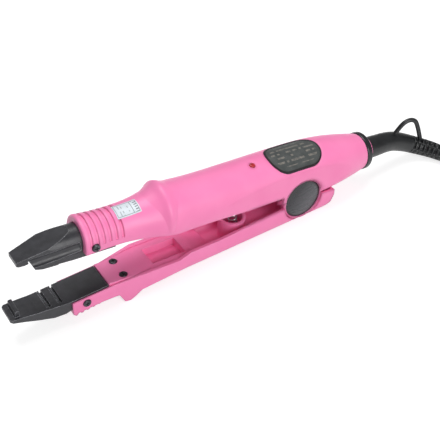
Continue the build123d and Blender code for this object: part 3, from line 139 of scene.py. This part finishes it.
def points_m(points):
    """Points in millimetres as vectors in metres."""
    return [Vector(p) * MM for p in points]


# Materials

class Graph:
    """A material's nodes, with short calls to add and join them."""

    def __init__(self, name):
        self.material = bpy.data.materials.new(name)
        self.material.use_nodes = True
        self.tree = self.material.node_tree
        self.shader = self.tree.nodes["Principled BSDF"]
        self.coords = self.tree.nodes.new("ShaderNodeTexCoord").outputs["Object"]

    def add(self, kind, inputs=None, **settings):
        node = self.tree.nodes.new(kind)
        for key, value in settings.items():
            setattr(node, key, value)
        for key, value in (inputs or {}).items():
            self.put(node.inputs[key], value)
        return node

    def put(self, socket, value):
        if isinstance(value, bpy.types.NodeSocket):
            self.tree.links.new(value, socket)
        else:
            socket.default_value = value

    def noise(self, size, detail=3.0, roughness=0.55, stretch=None):
        """Noise whose features are about size metres across, scaled along each axis if asked."""
        vector = self.coords
        if stretch:
            vector = self.add("ShaderNodeMapping", {"Vector": self.coords, "Scale": stretch}).outputs[0]
        node = self.add("ShaderNodeTexNoise",
                        {"Vector": vector, "Scale": 1 / size, "Detail": detail, "Roughness": roughness})
        return node.outputs["Fac"]

    def span(self, value, low, high, to_low=0.0, to_high=1.0):
        """A value's range from low to high, mapped to another range and held inside it."""
        node = self.add("ShaderNodeMapRange", {"Value": value, "From Min": low, "From Max": high,
                                               "To Min": to_low, "To Max": to_high})
        return node.outputs[0]

    def mix(self, share, colour_a, colour_b):
        node = self.add("ShaderNodeMix", data_type="RGBA")
        self.put(node.inputs[0], share)
        self.put(node.inputs[6], colour_a)
        self.put(node.inputs[7], colour_b)
        return node.outputs[2]

    def sums(self, a, b, operation="ADD"):
        """One sum, product or other operation on two values."""
        node = self.add("ShaderNodeMath", operation=operation)
        self.put(node.inputs[0], a)
        self.put(node.inputs[1], b)
        return node.outputs[0]

    def edge_mask(self, radius):
        """1 on outer edges, which are worn and on the coating also carry a painted highlight, 0 on flats,
        from how far a rounded edge turns the surface.
        """
        bevel = self.add("ShaderNodeBevel", {"Radius": radius}, samples=4)
        flat = self.add("ShaderNodeNewGeometry").outputs["Normal"]
        dot = self.add("ShaderNodeVectorMath", {0: bevel.outputs[0], 1: flat}, operation="DOT_PRODUCT")
        return self.span(dot.outputs["Value"], 0.98, 0.8)

    def bumps(self, edge, *layers):
        """Rounded edges, then layers of (height, strength, depth)."""
        normal = self.add("ShaderNodeBevel", {"Radius": edge}, samples=6).outputs[0] if edge else None
        for height, strength, depth in layers:
            node = self.add("ShaderNodeBump", {"Height": height, "Strength": strength, "Distance": depth})
            if normal:
                self.put(node.inputs["Normal"], normal)
            normal = node.outputs[0]
        self.put(self.shader.inputs["Normal"], normal)


def rgb(r, g, b):
    """A linear colour from the 0 to 255 values that it shows as."""
    def linear(v):
        v /= 255
        return v / 12.92 if v <= 0.04045 else ((v + 0.055) / 1.055) ** 2.4

    return (linear(r), linear(g), linear(b), 1.0)


def pink_plastic():
    """Satin moulded plastic: faint clouding, fine orange peel, handling scuffs and paler edges."""
    g = Graph("pink_plastic")
    cloud = g.span(g.noise(0.018, 2.0), 0.35, 0.65)
    base = g.mix(cloud, rgb(255, 140, 192), rgb(252, 133, 187))
    dust = g.span(g.noise(0.0011, 4.0), 0.62, 0.75, 0.0, 0.3)
    base = g.mix(dust, base, rgb(246, 126, 179))
    edge = g.sums(g.edge_mask(0.45 * MM), g.span(g.noise(0.004), 0.4, 0.62, 0.0, 0.3), "MULTIPLY")
    g.put(g.shader.inputs["Base Color"], g.mix(edge, base, rgb(255, 186, 218)))
    scuff = g.span(g.noise(0.006, 5.0, 0.6, (0.35, 1.0, 1.0)), 0.5, 0.72, 0.36, 0.48)
    g.put(g.shader.inputs["Roughness"], scuff)
    g.shader.inputs["Specular IOR Level"].default_value = 0.5
    # The edges between the grip's round top and its flat sides are moulded far softer than the rest.
    x = g.add("ShaderNodeSeparateXYZ", {0: g.coords}).outputs["X"]
    soft = g.sums(g.span(x, SOFT_SIDES_X[0], SOFT_SIDES_X[0] + 12 * MM),
                  g.span(x, SOFT_SIDES_X[1], SOFT_SIDES_X[1] + 8 * MM, 1.0, 0.0), "MULTIPLY")
    ribs = g.span(x, NECK_END_X, NECK_END_X + 4 * MM, NECK_R, 0.0)
    rounding = g.sums(g.span(soft, 0.0, 1.0, SHELL_EDGE_R, SOFT_SIDES_R), ribs)
    g.bumps(rounding, (g.noise(0.0022, 2.0), 0.12, 0.1 * MM), (g.noise(0.0004, 2.0), 0.08, 0.03 * MM))
    return g.material


def dark_coating():
    """Matt heat-proof coating over aluminium: fine grit, and thin bright edges that are partly wear and
    partly a painted highlight.
    """
    g = Graph("dark_coating")
    mottled = g.span(g.noise(0.006, 4.0), 0.35, 0.68)
    base = g.mix(mottled, rgb(44, 44, 48), rgb(54, 54, 59))
    speck = g.span(g.noise(0.00045, 2.0), 0.6, 0.72, 0.0, 0.4)
    base = g.mix(speck, base, rgb(74, 75, 80))
    # The bright edges are partly wear and partly a painted highlight along the ridges.
    edge = g.sums(g.edge_mask(0.6 * MM), g.span(g.noise(0.003), 0.4, 0.6, 0.45, 1.0), "MULTIPLY")
    g.put(g.shader.inputs["Base Color"], g.mix(edge, base, rgb(160, 161, 168)))
    g.put(g.shader.inputs["Roughness"], g.span(g.noise(0.003, 4.0), 0.3, 0.7, 0.3, 0.42))
    g.bumps(0.45 * MM, (g.noise(0.00035, 2.0), 0.2, 0.03 * MM), (g.noise(0.004, 3.0), 0.1, 0.08 * MM))
    return g.material


def moulded(name, colour, pale, rough=0.5, edge=0.3 * MM, grain=0.0005, depth=0.03 * MM):
    """Plain moulded plastic or rubber with a fine grain, dust in its colour and paler edges."""
    g = Graph(name)
    base = g.mix(g.span(g.noise(0.007, 4.0), 0.35, 0.7), colour, pale)
    base = g.mix(g.span(g.noise(0.0009, 3.0), 0.6, 0.75, 0.0, 0.4), base, pale)
    rim = g.sums(g.edge_mask(0.3 * MM), 0.5, "MULTIPLY")
    lighter = tuple(min(1.0, c * 2.2 + 0.01) for c in pale[:3]) + (1.0,)
    g.put(g.shader.inputs["Base Color"], g.mix(rim, base, lighter))
    g.put(g.shader.inputs["Roughness"], g.span(g.noise(0.002, 4.0), 0.3, 0.7, rough - 0.07, rough + 0.07))
    g.bumps(edge, (g.noise(grain, 2.0), 0.3, depth))
    return g.material


def metal(name, colour, rough, brushed=(1.0, 1.0, 1.0), dark=0.6):
    """Bare or plated metal with drawn lines, tarnish in patches and small scratches."""
    g = Graph(name)
    tarnish = g.span(g.noise(0.003, 4.0), 0.4, 0.7)
    dull = tuple(c * dark for c in colour[:3]) + (1.0,)
    g.put(g.shader.inputs["Base Color"], g.mix(tarnish, colour, dull))
    g.shader.inputs["Metallic"].default_value = 1.0
    lines = g.noise(0.0006, 3.0, 0.6, brushed)
    g.put(g.shader.inputs["Roughness"], g.span(lines, 0.3, 0.7, rough - 0.08, rough + 0.12))
    g.bumps(0.15 * MM, (lines, 0.2, 0.02 * MM))
    return g.material


def red_lens():
    """Clear red cap over the lamp: a glossy shell with a faint painted glow in its own colour."""
    g = Graph("red_lens")
    deep = g.span(g.noise(0.0012, 2.0), 0.35, 0.65)
    colour = g.mix(deep, rgb(206, 30, 42), rgb(138, 14, 26))
    speckle = g.span(g.noise(0.0004), 0.4, 0.7, 0.0, 0.3)
    colour = g.mix(speckle, colour, rgb(222, 72, 78))
    g.put(g.shader.inputs["Base Color"], colour)
    # Painted glow: the lens and the lamp under it give off a little light in their own colour.
    g.put(g.shader.inputs["Emission Color"], colour)
    g.shader.inputs["Emission Strength"].default_value = 0.06
    g.put(g.shader.inputs["Roughness"], g.span(g.noise(0.001), 0.3, 0.7, 0.12, 0.22))
    g.shader.inputs["Coat Weight"].default_value = 0.6
    g.bumps(0, (g.noise(0.0008), 0.1, 0.03 * MM))
    return g.material


def line_mask(g, value, centre, half):
    """1 within half of a centre line, fading over a tenth of a millimetre."""
    away = g.add("ShaderNodeMath", operation="ABSOLUTE")
    g.put(away.inputs[0], g.sums(value, centre, "SUBTRACT"))
    return g.span(away.outputs[0], half, half + 0.1 * MM, 1.0, 0.0)


def handle_xy(g, node, turn=0.0):
    """Distances along and across the handle from the middle of a node on it, as its outline is turned."""
    low, high = (Vector(corner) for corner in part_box(node))
    origin = HANDLE_FRAME.translation
    along_x = ((low + high) / 2 - origin).dot(HANDLE_FRAME.to_3x3() @ Vector((1, 0, 0)))
    moved = g.add("ShaderNodeVectorMath", {0: g.coords, 1: origin}, operation="SUBTRACT").outputs[0]
    level = g.add("ShaderNodeVectorRotate", {"Vector": moved, "Angle": -HANDLE_TILT},
                  rotation_type="Y_AXIS").outputs[0]
    upright = g.add("ShaderNodeVectorRotate", {"Vector": level, "Angle": -turn},
                    rotation_type="X_AXIS").outputs[0]
    parts = g.add("ShaderNodeSeparateXYZ", {0: upright})
    return g.sums(parts.outputs["X"], along_x, "SUBTRACT"), parts.outputs["Y"]


def dashes(g, x, y, pitch_x, pitch_y, share):
    """Rows of short plain bars of uneven length."""
    cell = g.add("ShaderNodeCombineXYZ")
    for socket, value, pitch in (("X", x, pitch_x), ("Y", y, pitch_y)):
        step = g.add("ShaderNodeMath", operation="FLOOR")
        g.put(step.inputs[0], g.sums(value, pitch, "DIVIDE"))
        g.put(cell.inputs[socket], step.outputs[0])
    pick = g.add("ShaderNodeTexWhiteNoise", {"Vector": cell.outputs[0]}).outputs["Value"]
    wave = g.add("ShaderNodeMath", operation="PINGPONG")
    g.put(wave.inputs[0], y)
    g.put(wave.inputs[1], pitch_y / 2)
    row = g.span(wave.outputs[0], pitch_y * 0.27, pitch_y * 0.33)
    return g.sums(row, g.span(pick, share, share + 0.02), "MULTIPLY")


def label_paper():
    """Coated white label: a thin ruled frame, a divider and plain bars, no lettering."""
    g = Graph("label_paper")
    x, y = handle_xy(g, "front_label", LABEL_TURN)
    fibre = g.span(g.noise(0.0007, 4.0), 0.35, 0.65)
    base = g.mix(fibre, rgb(216, 226, 234), rgb(226, 234, 240))
    stain = g.span(g.noise(0.004), 0.5, 0.7, 0.0, 0.35)
    base = g.mix(stain, base, rgb(202, 212, 220))
    divider = g.sums(line_mask(g, x, LABEL_DIVIDER_X, 0.12 * MM), 0.8, "MULTIPLY")
    right = g.sums(dashes(g, x, y, *LABEL_RIGHT_PITCH, 0.35),
                   g.span(x, LABEL_RIGHT_X, LABEL_RIGHT_X + 0.2 * MM), "MULTIPLY")
    left = g.sums(line_mask(g, x, LABEL_LEFT_X, LABEL_LEFT_HALF), dashes(g, y, x, *LABEL_LEFT_PITCH, 0.45),
                  "MULTIPLY")
    ink = g.sums(g.sums(divider, right, "MAXIMUM"), g.sums(left, 0.45, "MULTIPLY"), "MAXIMUM")
    half_l, half_w = LABEL_FRAME
    inside = g.sums(line_mask(g, y, 0.0, half_w + LABEL_FRAME_W),
                    line_mask(g, x, 0.0, half_l + LABEL_FRAME_W), "MULTIPLY")
    within = g.sums(line_mask(g, y, 0.0, half_w), line_mask(g, x, 0.0, half_l), "MULTIPLY")
    frame_line = g.sums(g.sums(inside, within, "SUBTRACT"), 0.75, "MULTIPLY")
    ink = g.sums(g.sums(ink, within, "MULTIPLY"), frame_line, "MAXIMUM")
    g.put(g.shader.inputs["Base Color"], g.mix(ink, base, rgb(92, 100, 108)))
    g.put(g.shader.inputs["Roughness"], g.span(fibre, 0.0, 1.0, 0.3, 0.42))
    g.bumps(0.1 * MM, (g.noise(0.0005), 0.15, 0.02 * MM))
    return g.material


def rating_plate():
    """Moulded plate: a rim painted dark as the shade of the gap round it, a grey face and rows of plain
    raised bars, no lettering.
    """
    g = Graph("rating_plate")
    x, y = handle_xy(g, "rating_plate", PLATE_TURN)
    beyond = []
    for value, half in ((x, PLATE_HALF_L), (y, PLATE_HALF_W)):
        size = g.add("ShaderNodeMath", operation="ABSOLUTE")
        g.put(size.inputs[0], value)
        beyond.append(g.span(g.sums(size.outputs[0], half - PLATE_CORNER, "SUBTRACT"), 0.0, 1.0))
    corner = g.sums(g.sums(g.sums(beyond[0], 2.0, "POWER"), g.sums(beyond[1], 2.0, "POWER")), 0.5, "POWER")
    # Painted shade: the rim is painted dark for the shadowed gap round the plate.
    rim = g.span(corner, PLATE_CORNER - PLATE_RIM - 0.2 * MM, PLATE_CORNER - PLATE_RIM)
    worn = g.span(g.noise(0.004, 4.0), 0.35, 0.7)
    face = g.mix(worn, rgb(64, 68, 68), rgb(80, 83, 82))
    face = g.mix(g.span(g.noise(0.0008, 3.0), 0.58, 0.74, 0.0, 0.5), face, rgb(96, 98, 96))
    margin = PLATE_CORNER - PLATE_MARGIN
    marks = g.sums(dashes(g, x, y, *PLATE_BAR_PITCH, 0.3),
                   g.span(corner, margin, margin + 0.4 * MM, 1.0, 0.0), "MULTIPLY")
    faded = g.sums(marks, g.span(g.noise(0.0014, 3.0), 0.36, 0.6, 0.15, 0.8), "MULTIPLY")
    face = g.mix(faded, face, rgb(140, 134, 126))
    g.put(g.shader.inputs["Base Color"], g.mix(rim, face, rgb(26, 18, 24)))
    g.put(g.shader.inputs["Roughness"], g.span(worn, 0.0, 1.0, 0.4, 0.52))
    g.bumps(0.1 * MM, (marks, 0.6, 0.12 * MM), (g.noise(0.0006, 2.0), 0.3, 0.03 * MM))
    return g.material


def hinge_cap():
    """Smooth dark cap, slightly crowned, with painted light making it paler low at the back and a ring of
    painted shade at its rim.
    """
    g = Graph("hinge_cap")
    base = g.mix(g.span(g.noise(0.006, 4.0), 0.35, 0.7), rgb(30, 31, 36), rgb(36, 38, 43))
    scratch = g.noise(0.003, 4.0, 0.6, (0.5, 1.0, 1.5))
    base = g.mix(g.span(scratch, 0.6, 0.8, 0.0, 0.3), base, rgb(56, 59, 64))
    from_pin = g.add("ShaderNodeVectorMath", {0: g.coords, 1: HINGE}, operation="SUBTRACT").outputs[0]
    place = g.add("ShaderNodeSeparateXYZ", {0: from_pin})
    # Painted light: the cap grows paler low at the back, towards the cord, where the light falls across it.
    across = g.sums(place.outputs["X"], place.outputs["Z"], "SUBTRACT")
    painted_light_side = g.span(across, -CAP_PAINTED_LIGHT_SPAN, CAP_PAINTED_LIGHT_SPAN, 0.0, 0.75)
    base = g.mix(painted_light_side, base, rgb(84, 88, 92))
    g.put(g.shader.inputs["Roughness"], g.span(scratch, 0.35, 0.7, 0.26, 0.3))
    flat = g.add("ShaderNodeVectorMath", {0: from_pin, 1: (1.0, 0.0, 1.0)}, operation="MULTIPLY").outputs[0]
    away = g.add("ShaderNodeVectorMath", {0: flat}, operation="LENGTH").outputs["Value"]
    # Painted shade: a dark ring all round the cap's rim stands in for the shadowed gap round it.
    painted_rim_shade = g.span(away, CAP_RIM_R, CAP_RIM_R + 0.5 * MM)
    g.put(g.shader.inputs["Base Color"], g.mix(painted_rim_shade, base, rgb(22, 20, 24)))
    crown = g.sums(g.sums(away, away, "MULTIPLY"), -1 / (2 * CAP_CROWN_R), "MULTIPLY")
    g.bumps(0.4 * MM, (crown, 1.0, 1.0), (g.noise(0.0008), 0.06, 0.02 * MM))
    return g.material


def circuit_laminate():
    """Green woven board."""
    g = Graph("circuit_laminate")
    weave = g.add("ShaderNodeTexChecker", {"Vector": g.coords, "Scale": 900.0}).outputs["Fac"]
    base = g.mix(g.span(g.noise(0.003), 0.4, 0.7), rgb(36, 104, 58), rgb(28, 84, 48))
    g.put(g.shader.inputs["Base Color"], g.mix(g.sums(weave, 0.15, "MULTIPLY"), base, rgb(86, 140, 96)))
    g.put(g.shader.inputs["Roughness"], g.span(g.noise(0.002), 0.3, 0.7, 0.3, 0.45))
    g.bumps(0.1 * MM, (g.noise(0.0006), 0.2, 0.02 * MM))
    return g.material


PINK = pink_plastic()
COATING = dark_coating()
BLACK_RUBBER = moulded("black_rubber", rgb(20, 21, 23), rgb(31, 33, 35), 0.36, 0.25 * MM)
BLACK_PLASTIC = moulded("black_plastic", rgb(26, 26, 30), rgb(36, 36, 41), 0.3)
CORD_JACKET = moulded("cord_jacket", rgb(30, 32, 34), rgb(42, 44, 47), 0.42)
CAP = hinge_cap()
PLATE = rating_plate()
STEEL = metal("steel", rgb(190, 191, 194), 0.32, (0.2, 1.0, 1.0))
BLACK_STEEL = metal("black_steel", rgb(92, 92, 97), 0.34, (1.0, 1.0, 1.0), 0.4)
BRASS = metal("brass", rgb(206, 170, 96), 0.28, (0.3, 1.0, 1.0), 0.75)
CERAMIC = moulded("white_ceramic", rgb(228, 224, 216), rgb(238, 236, 230), 0.6)
SILICONE = moulded("wire_sleeve", rgb(222, 220, 214), rgb(232, 230, 226), 0.55)
MICA = moulded("mica", rgb(186, 176, 148), rgb(204, 196, 170), 0.45)
LAMINATE = circuit_laminate()
RED = red_lens()
LABEL = label_paper()

FINISHES = {
    "upper_shell": PINK, "underside_cover": PINK, "arm_channel": PINK, "arm_cover": PINK,
    "board_posts": PINK, "swivel_hub": PINK, "heater_tip": COATING, "lower_jaw": COATING,
    "underside_screws": STEEL, "hinge_pin": STEEL, "return_spring": STEEL, "swivel_clip": STEEL,
    "neck_screws": BLACK_STEEL, "cover_screws": BLACK_STEEL, "arm_side_screws": BLACK_STEEL,
    "heating_element": CERAMIC, "rear_sleeve": CERAMIC, "lead_wires": SILICONE,
    "circuit_board": LAMINATE, "board_parts": BLACK_PLASTIC, "indicator_lens": RED,
    "indicator_lamp": RED, "rating_plate": PLATE, "front_label": LABEL,
    "hinge_cap_near": CAP, "hinge_cap_far": CAP, "tail_ring": BLACK_PLASTIC,
    "hinge_bushes": BRASS, "jaw_insulator": MICA, "plug_body": BLACK_PLASTIC, "plug_pins": BRASS,
    "cord_boot": BLACK_RUBBER, "hanging_loop": BLACK_RUBBER, "power_cord": CORD_JACKET,
    "cord_hank": CORD_JACKET, "cord_end": CORD_JACKET, "cord_tie": BLACK_PLASTIC,
}
for node, finish in FINISHES.items():
    materials = NODES[node].data.materials
    materials.clear()
    materials.append(finish)


# Pieces

def new_piece(name, mesh_or_curve, body, finish):
    """A piece of the scene that rides on a body of the model."""
    piece = bpy.data.objects.new(name, mesh_or_curve)
    bpy.context.scene.collection.objects.link(piece)
    piece.data.materials.append(finish)
    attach(piece, body)
    return piece


def nurbs_curve(name, points, radius, resolution=6, sides=6):
    """A round tube along one open spline with the given control points."""
    curve = bpy.data.curves.new(name, "CURVE")
    curve.dimensions = "3D"
    spline = curve.splines.new("NURBS")
    spline.points.add(len(points) - 1)
    for point, place in zip(spline.points, points):
        point.co = (*place, 1.0)
    spline.order_u = 3
    spline.use_endpoint_u = True
    spline.use_smooth = True
    spline.resolution_u = resolution
    curve.bevel_depth = radius
    curve.bevel_resolution = sides
    curve.use_fill_caps = True
    return curve


def centre_line(points, resolution=8):
    """Points read along a smooth spline through its control points."""
    curve = nurbs_curve("route", points, 0.0, resolution)
    piece = bpy.data.objects.new("route", curve)
    bpy.context.scene.collection.objects.link(piece)
    bpy.context.view_layer.update()
    mesh = bpy.data.meshes.new_from_object(piece)
    line = [v.co.copy() for v in mesh.vertices]
    bpy.data.objects.remove(piece)
    bpy.data.curves.remove(curve)
    bpy.data.meshes.remove(mesh)
    return line


def along(line):
    """Distance of each point of a line from its start."""
    marks = [0.0]
    for a, b in zip(line, line[1:]):
        marks.append(marks[-1] + (b - a).length)
    return marks


def at_distance(line, marks, distance):
    """Place and direction at a distance along a line."""
    i = 0
    while i < len(marks) - 2 and marks[i + 1] < distance:
        i += 1
    share = (distance - marks[i]) / (marks[i + 1] - marks[i])
    ahead = (line[min(i + 2, len(line) - 1)] - line[max(i - 1, 0)]).normalized()
    return line[i].lerp(line[i + 1], share), ahead


def swept_mesh(name, rings, radius_at, sides=72):
    """A closed mesh round a line of (share, centre, direction) rings, with its radius as a formula."""
    mesh = bmesh.new()
    loops = []
    for share, centre, ahead in rings:
        side = ahead.cross(Vector((0, 0, 1))).normalized()
        over = side.cross(ahead).normalized()
        loop = []
        for k in range(sides):
            turn = k / sides
            out = side * cos(2 * pi * turn) + over * sin(2 * pi * turn)
            loop.append(mesh.verts.new(centre + out * radius_at(share, turn)))
        loops.append(loop)
    for a, b in zip(loops, loops[1:]):
        for k in range(sides):
            mesh.faces.new((a[k], a[(k + 1) % sides], b[(k + 1) % sides], b[k]))
    mesh.faces.new(list(reversed(loops[0])))
    mesh.faces.new(loops[-1])
    bmesh.ops.recalc_face_normals(mesh, faces=mesh.faces)
    for face in mesh.faces:
        face.smooth = len(face.verts) == 4
    data = bpy.data.meshes.new(name)
    mesh.to_mesh(data)
    mesh.free()
    return data


def swell(value, low, high, edge):
    """1 between low and high, falling smoothly to 0 over the edge's width on each side."""
    rise = min(1.0, max(0.0, (value - low + edge) / edge), max(0.0, (high + edge - value) / edge))
    return rise * rise * (3 - 2 * rise)


def boot_radius(share, turn):
    """Radius of the strain relief: a smooth root, then rows of windows, every other row shifted."""
    slot = share * (len(BOOT_RADII) - 1)
    low = min(int(slot), len(BOOT_RADII) - 2)
    radius = BOOT_RADII[low] + (BOOT_RADII[low + 1] - BOOT_RADII[low]) * (slot - low)
    if share > BOOT_RIBS_FROM:
        row = turn * BOOT_WINDOW_ROWS
        place = (share - BOOT_RIBS_FROM) / (1 - BOOT_RIBS_FROM) * BOOT_RIBS + int(row) % 2 * 0.5
        ends = swell(share, BOOT_RIBS_FROM + 0.01, 0.97, 0.01)
        window = (swell(place % 1, *BOOT_WINDOW_LONG, BOOT_WINDOW_EDGE)
                  * swell(row % 1, *BOOT_WINDOW_ROUND, BOOT_WINDOW_EDGE))
        radius -= BOOT_WINDOW_DEPTH * window * ends
    if share in (0.0, 1.0):
        radius -= BOOT_END_ROUND
    return radius * MM


def make_boot():
    """The strain relief, swept along its bent centre line."""
    root = HANDLE_FRAME @ Vector((BOOT_ROOT_X, 0, 0))
    line = centre_line([root] + points_m(BOOT_ROUTE))
    marks = along(line)
    rings = [(i / BOOT_STEPS, *at_distance(line, marks, i / BOOT_STEPS * marks[-1]))
             for i in range(BOOT_STEPS + 1)]
    return new_piece("boot", swept_mesh("boot", rings, boot_radius), "cord_swivel",
                     BLACK_RUBBER)


def hank_points():
    """The hank: each layer holds one loop drawn in at the waist, and the cord climbs at the near waist."""
    points = []
    for step in range(2, HANK_LAYERS * HANK_STEPS - HANK_STEPS // 4 + 1):
        layer, part = divmod(step / HANK_STEPS, 1)
        spread = abs((layer + part) % 2 - 1)
        out = sin(2 * pi * part)
        waist = HANK_WAIST + HANK_WAIST_PITCH * spread + HANK_SWELL * out ** 2
        climb = 0.5 * (1 - abs(out)) ** 2
        if part < 0.25 and layer > 0:
            layer -= climb
        if part > 0.75 and layer < HANK_LAYERS - 1:
            layer += climb
        points.append((HANK_CENTRE[0] + (HANK_REACH + HANK_PITCH * spread) * out,
                       HANK_CENTRE[1] - waist * cos(2 * pi * part), HANK_LOW + HANK_LAYER * layer))
    return points


def make_cord():
    """The whole cord as one spline: out of the boot, round the hank and up to the plug."""
    route = [BOOT_ROUTE[-1], *CORD_TO_HANK, *CORD_INTO_HANK, *hank_points(), *CORD_OUT_OF_HANK,
             *CORD_TO_PLUG, PLUG_AT]
    curve = nurbs_curve("cord", points_m(route), CORD_D / 2, 6, 5)
    return new_piece("cord", curve, "cord_swivel", CORD_JACKET)


def make_loop():
    """The wire loop that the iron hangs by."""
    curve = nurbs_curve("hanging_wire", points_m(LOOP_ROUTE), LOOP_R, 10, 6)
    return new_piece("hanging_wire", curve, "cord_swivel", BLACK_RUBBER)


boot = make_boot()
cord = make_cord()
loop = make_loop()
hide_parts("cord_boot")
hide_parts("power_cord", "cord_hank", "cord_end")
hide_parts("hanging_loop")


# Camera, lamps and floor

def make_camera():
    """The photograph's camera, with its off-centre lens."""
    camera = bpy.data.cameras.new("camera")
    camera.sensor_width = SENSOR_MM
    camera.lens = FOCAL_PX / IMAGE_PX * SENSOR_MM
    camera.shift_x = (IMAGE_PX / 2 - CENTRE_PX[0]) / IMAGE_PX
    camera.shift_y = (CENTRE_PX[1] - IMAGE_PX / 2) / IMAGE_PX
    camera.clip_start = 0.01
    holder = bpy.data.objects.new("camera", camera)
    bpy.context.scene.collection.objects.link(holder)
    aim = Matrix.Rotation(CAMERA_AZIMUTH, 4, "Z") @ Matrix.Rotation(pi / 2 - CAMERA_ELEVATION, 4, "X")
    holder.matrix_world = ARM_FRAME @ Matrix.Translation(CAMERA_AT) @ aim
    bpy.context.scene.camera = holder


def make_lamp(name, place, target, size, watts):
    """A round area lamp that faces its target."""
    light = bpy.data.lights.new(name, "AREA")
    light.shape = "DISK"
    light.size = size
    light.energy = watts
    holder = bpy.data.objects.new(name, light)
    bpy.context.scene.collection.objects.link(holder)
    holder.location = place
    holder.rotation_euler = (Vector(target) - Vector(place)).to_track_quat("-Z", "Y").to_euler()


def join(tree, *links):
    """Links between the sockets of a node tree."""
    for source, target in links:
        tree.links.new(source, target)


def make_floor():
    """Pale floor that takes shadows but looks as white as the background."""
    mesh = bmesh.new()
    bmesh.ops.create_grid(mesh, x_segments=1, y_segments=1, size=4.0)
    data = bpy.data.meshes.new("floor")
    mesh.to_mesh(data)
    mesh.free()
    floor = bpy.data.objects.new("floor", data)
    bpy.context.scene.collection.objects.link(floor)
    material = bpy.data.materials.new("pale_floor")
    material.use_nodes = True
    tree = material.node_tree
    tree.nodes.clear()
    out, diffuse, glow, path, seen, more, level, both = (tree.nodes.new(kind) for kind in (
        "ShaderNodeOutputMaterial", "ShaderNodeBsdfDiffuse", "ShaderNodeEmission", "ShaderNodeLightPath",
        "ShaderNodeMath", "ShaderNodeMath", "ShaderNodeMath", "ShaderNodeAddShader"))
    diffuse.inputs["Color"].default_value = (FLOOR_GREY, FLOOR_GREY, FLOOR_GREY, 1)
    seen.operation = more.operation = "MAXIMUM"
    level.operation = "MULTIPLY"
    level.inputs[1].default_value = FLOOR_GLOW_SEEN
    join(tree,
         (path.outputs["Is Camera Ray"], seen.inputs[0]),
         (path.outputs["Is Glossy Ray"], more.inputs[0]),
         (path.outputs["Is Transmission Ray"], more.inputs[1]),
         (more.outputs[0], seen.inputs[1]),
         (seen.outputs[0], level.inputs[0]),
         (level.outputs[0], glow.inputs["Strength"]),
         (diffuse.outputs[0], both.inputs[0]),
         (glow.outputs[0], both.inputs[1]),
         (both.outputs[0], out.inputs["Surface"]))
    data.materials.append(material)


def make_world():
    """White to the camera and dimmer as a light."""
    world = bpy.data.worlds.new("studio")
    world.use_nodes = True
    tree = world.node_tree
    background = tree.nodes["Background"]
    path = tree.nodes.new("ShaderNodeLightPath")
    level = tree.nodes.new("ShaderNodeMapRange")
    level.inputs["To Min"].default_value = WORLD_LIGHT
    level.inputs["To Max"].default_value = WORLD_SEEN
    join(tree, (path.outputs["Is Camera Ray"], level.inputs["Value"]),
         (level.outputs[0], background.inputs["Strength"]))
    background.inputs["Color"].default_value = (1, 1, 1, 1)
    bpy.context.scene.world = world


make_camera()
make_world()
make_floor()
for lamp, facts in LAMPS.items():
    make_lamp(lamp, *facts)
bpy.context.scene.view_settings.view_transform = "Standard"
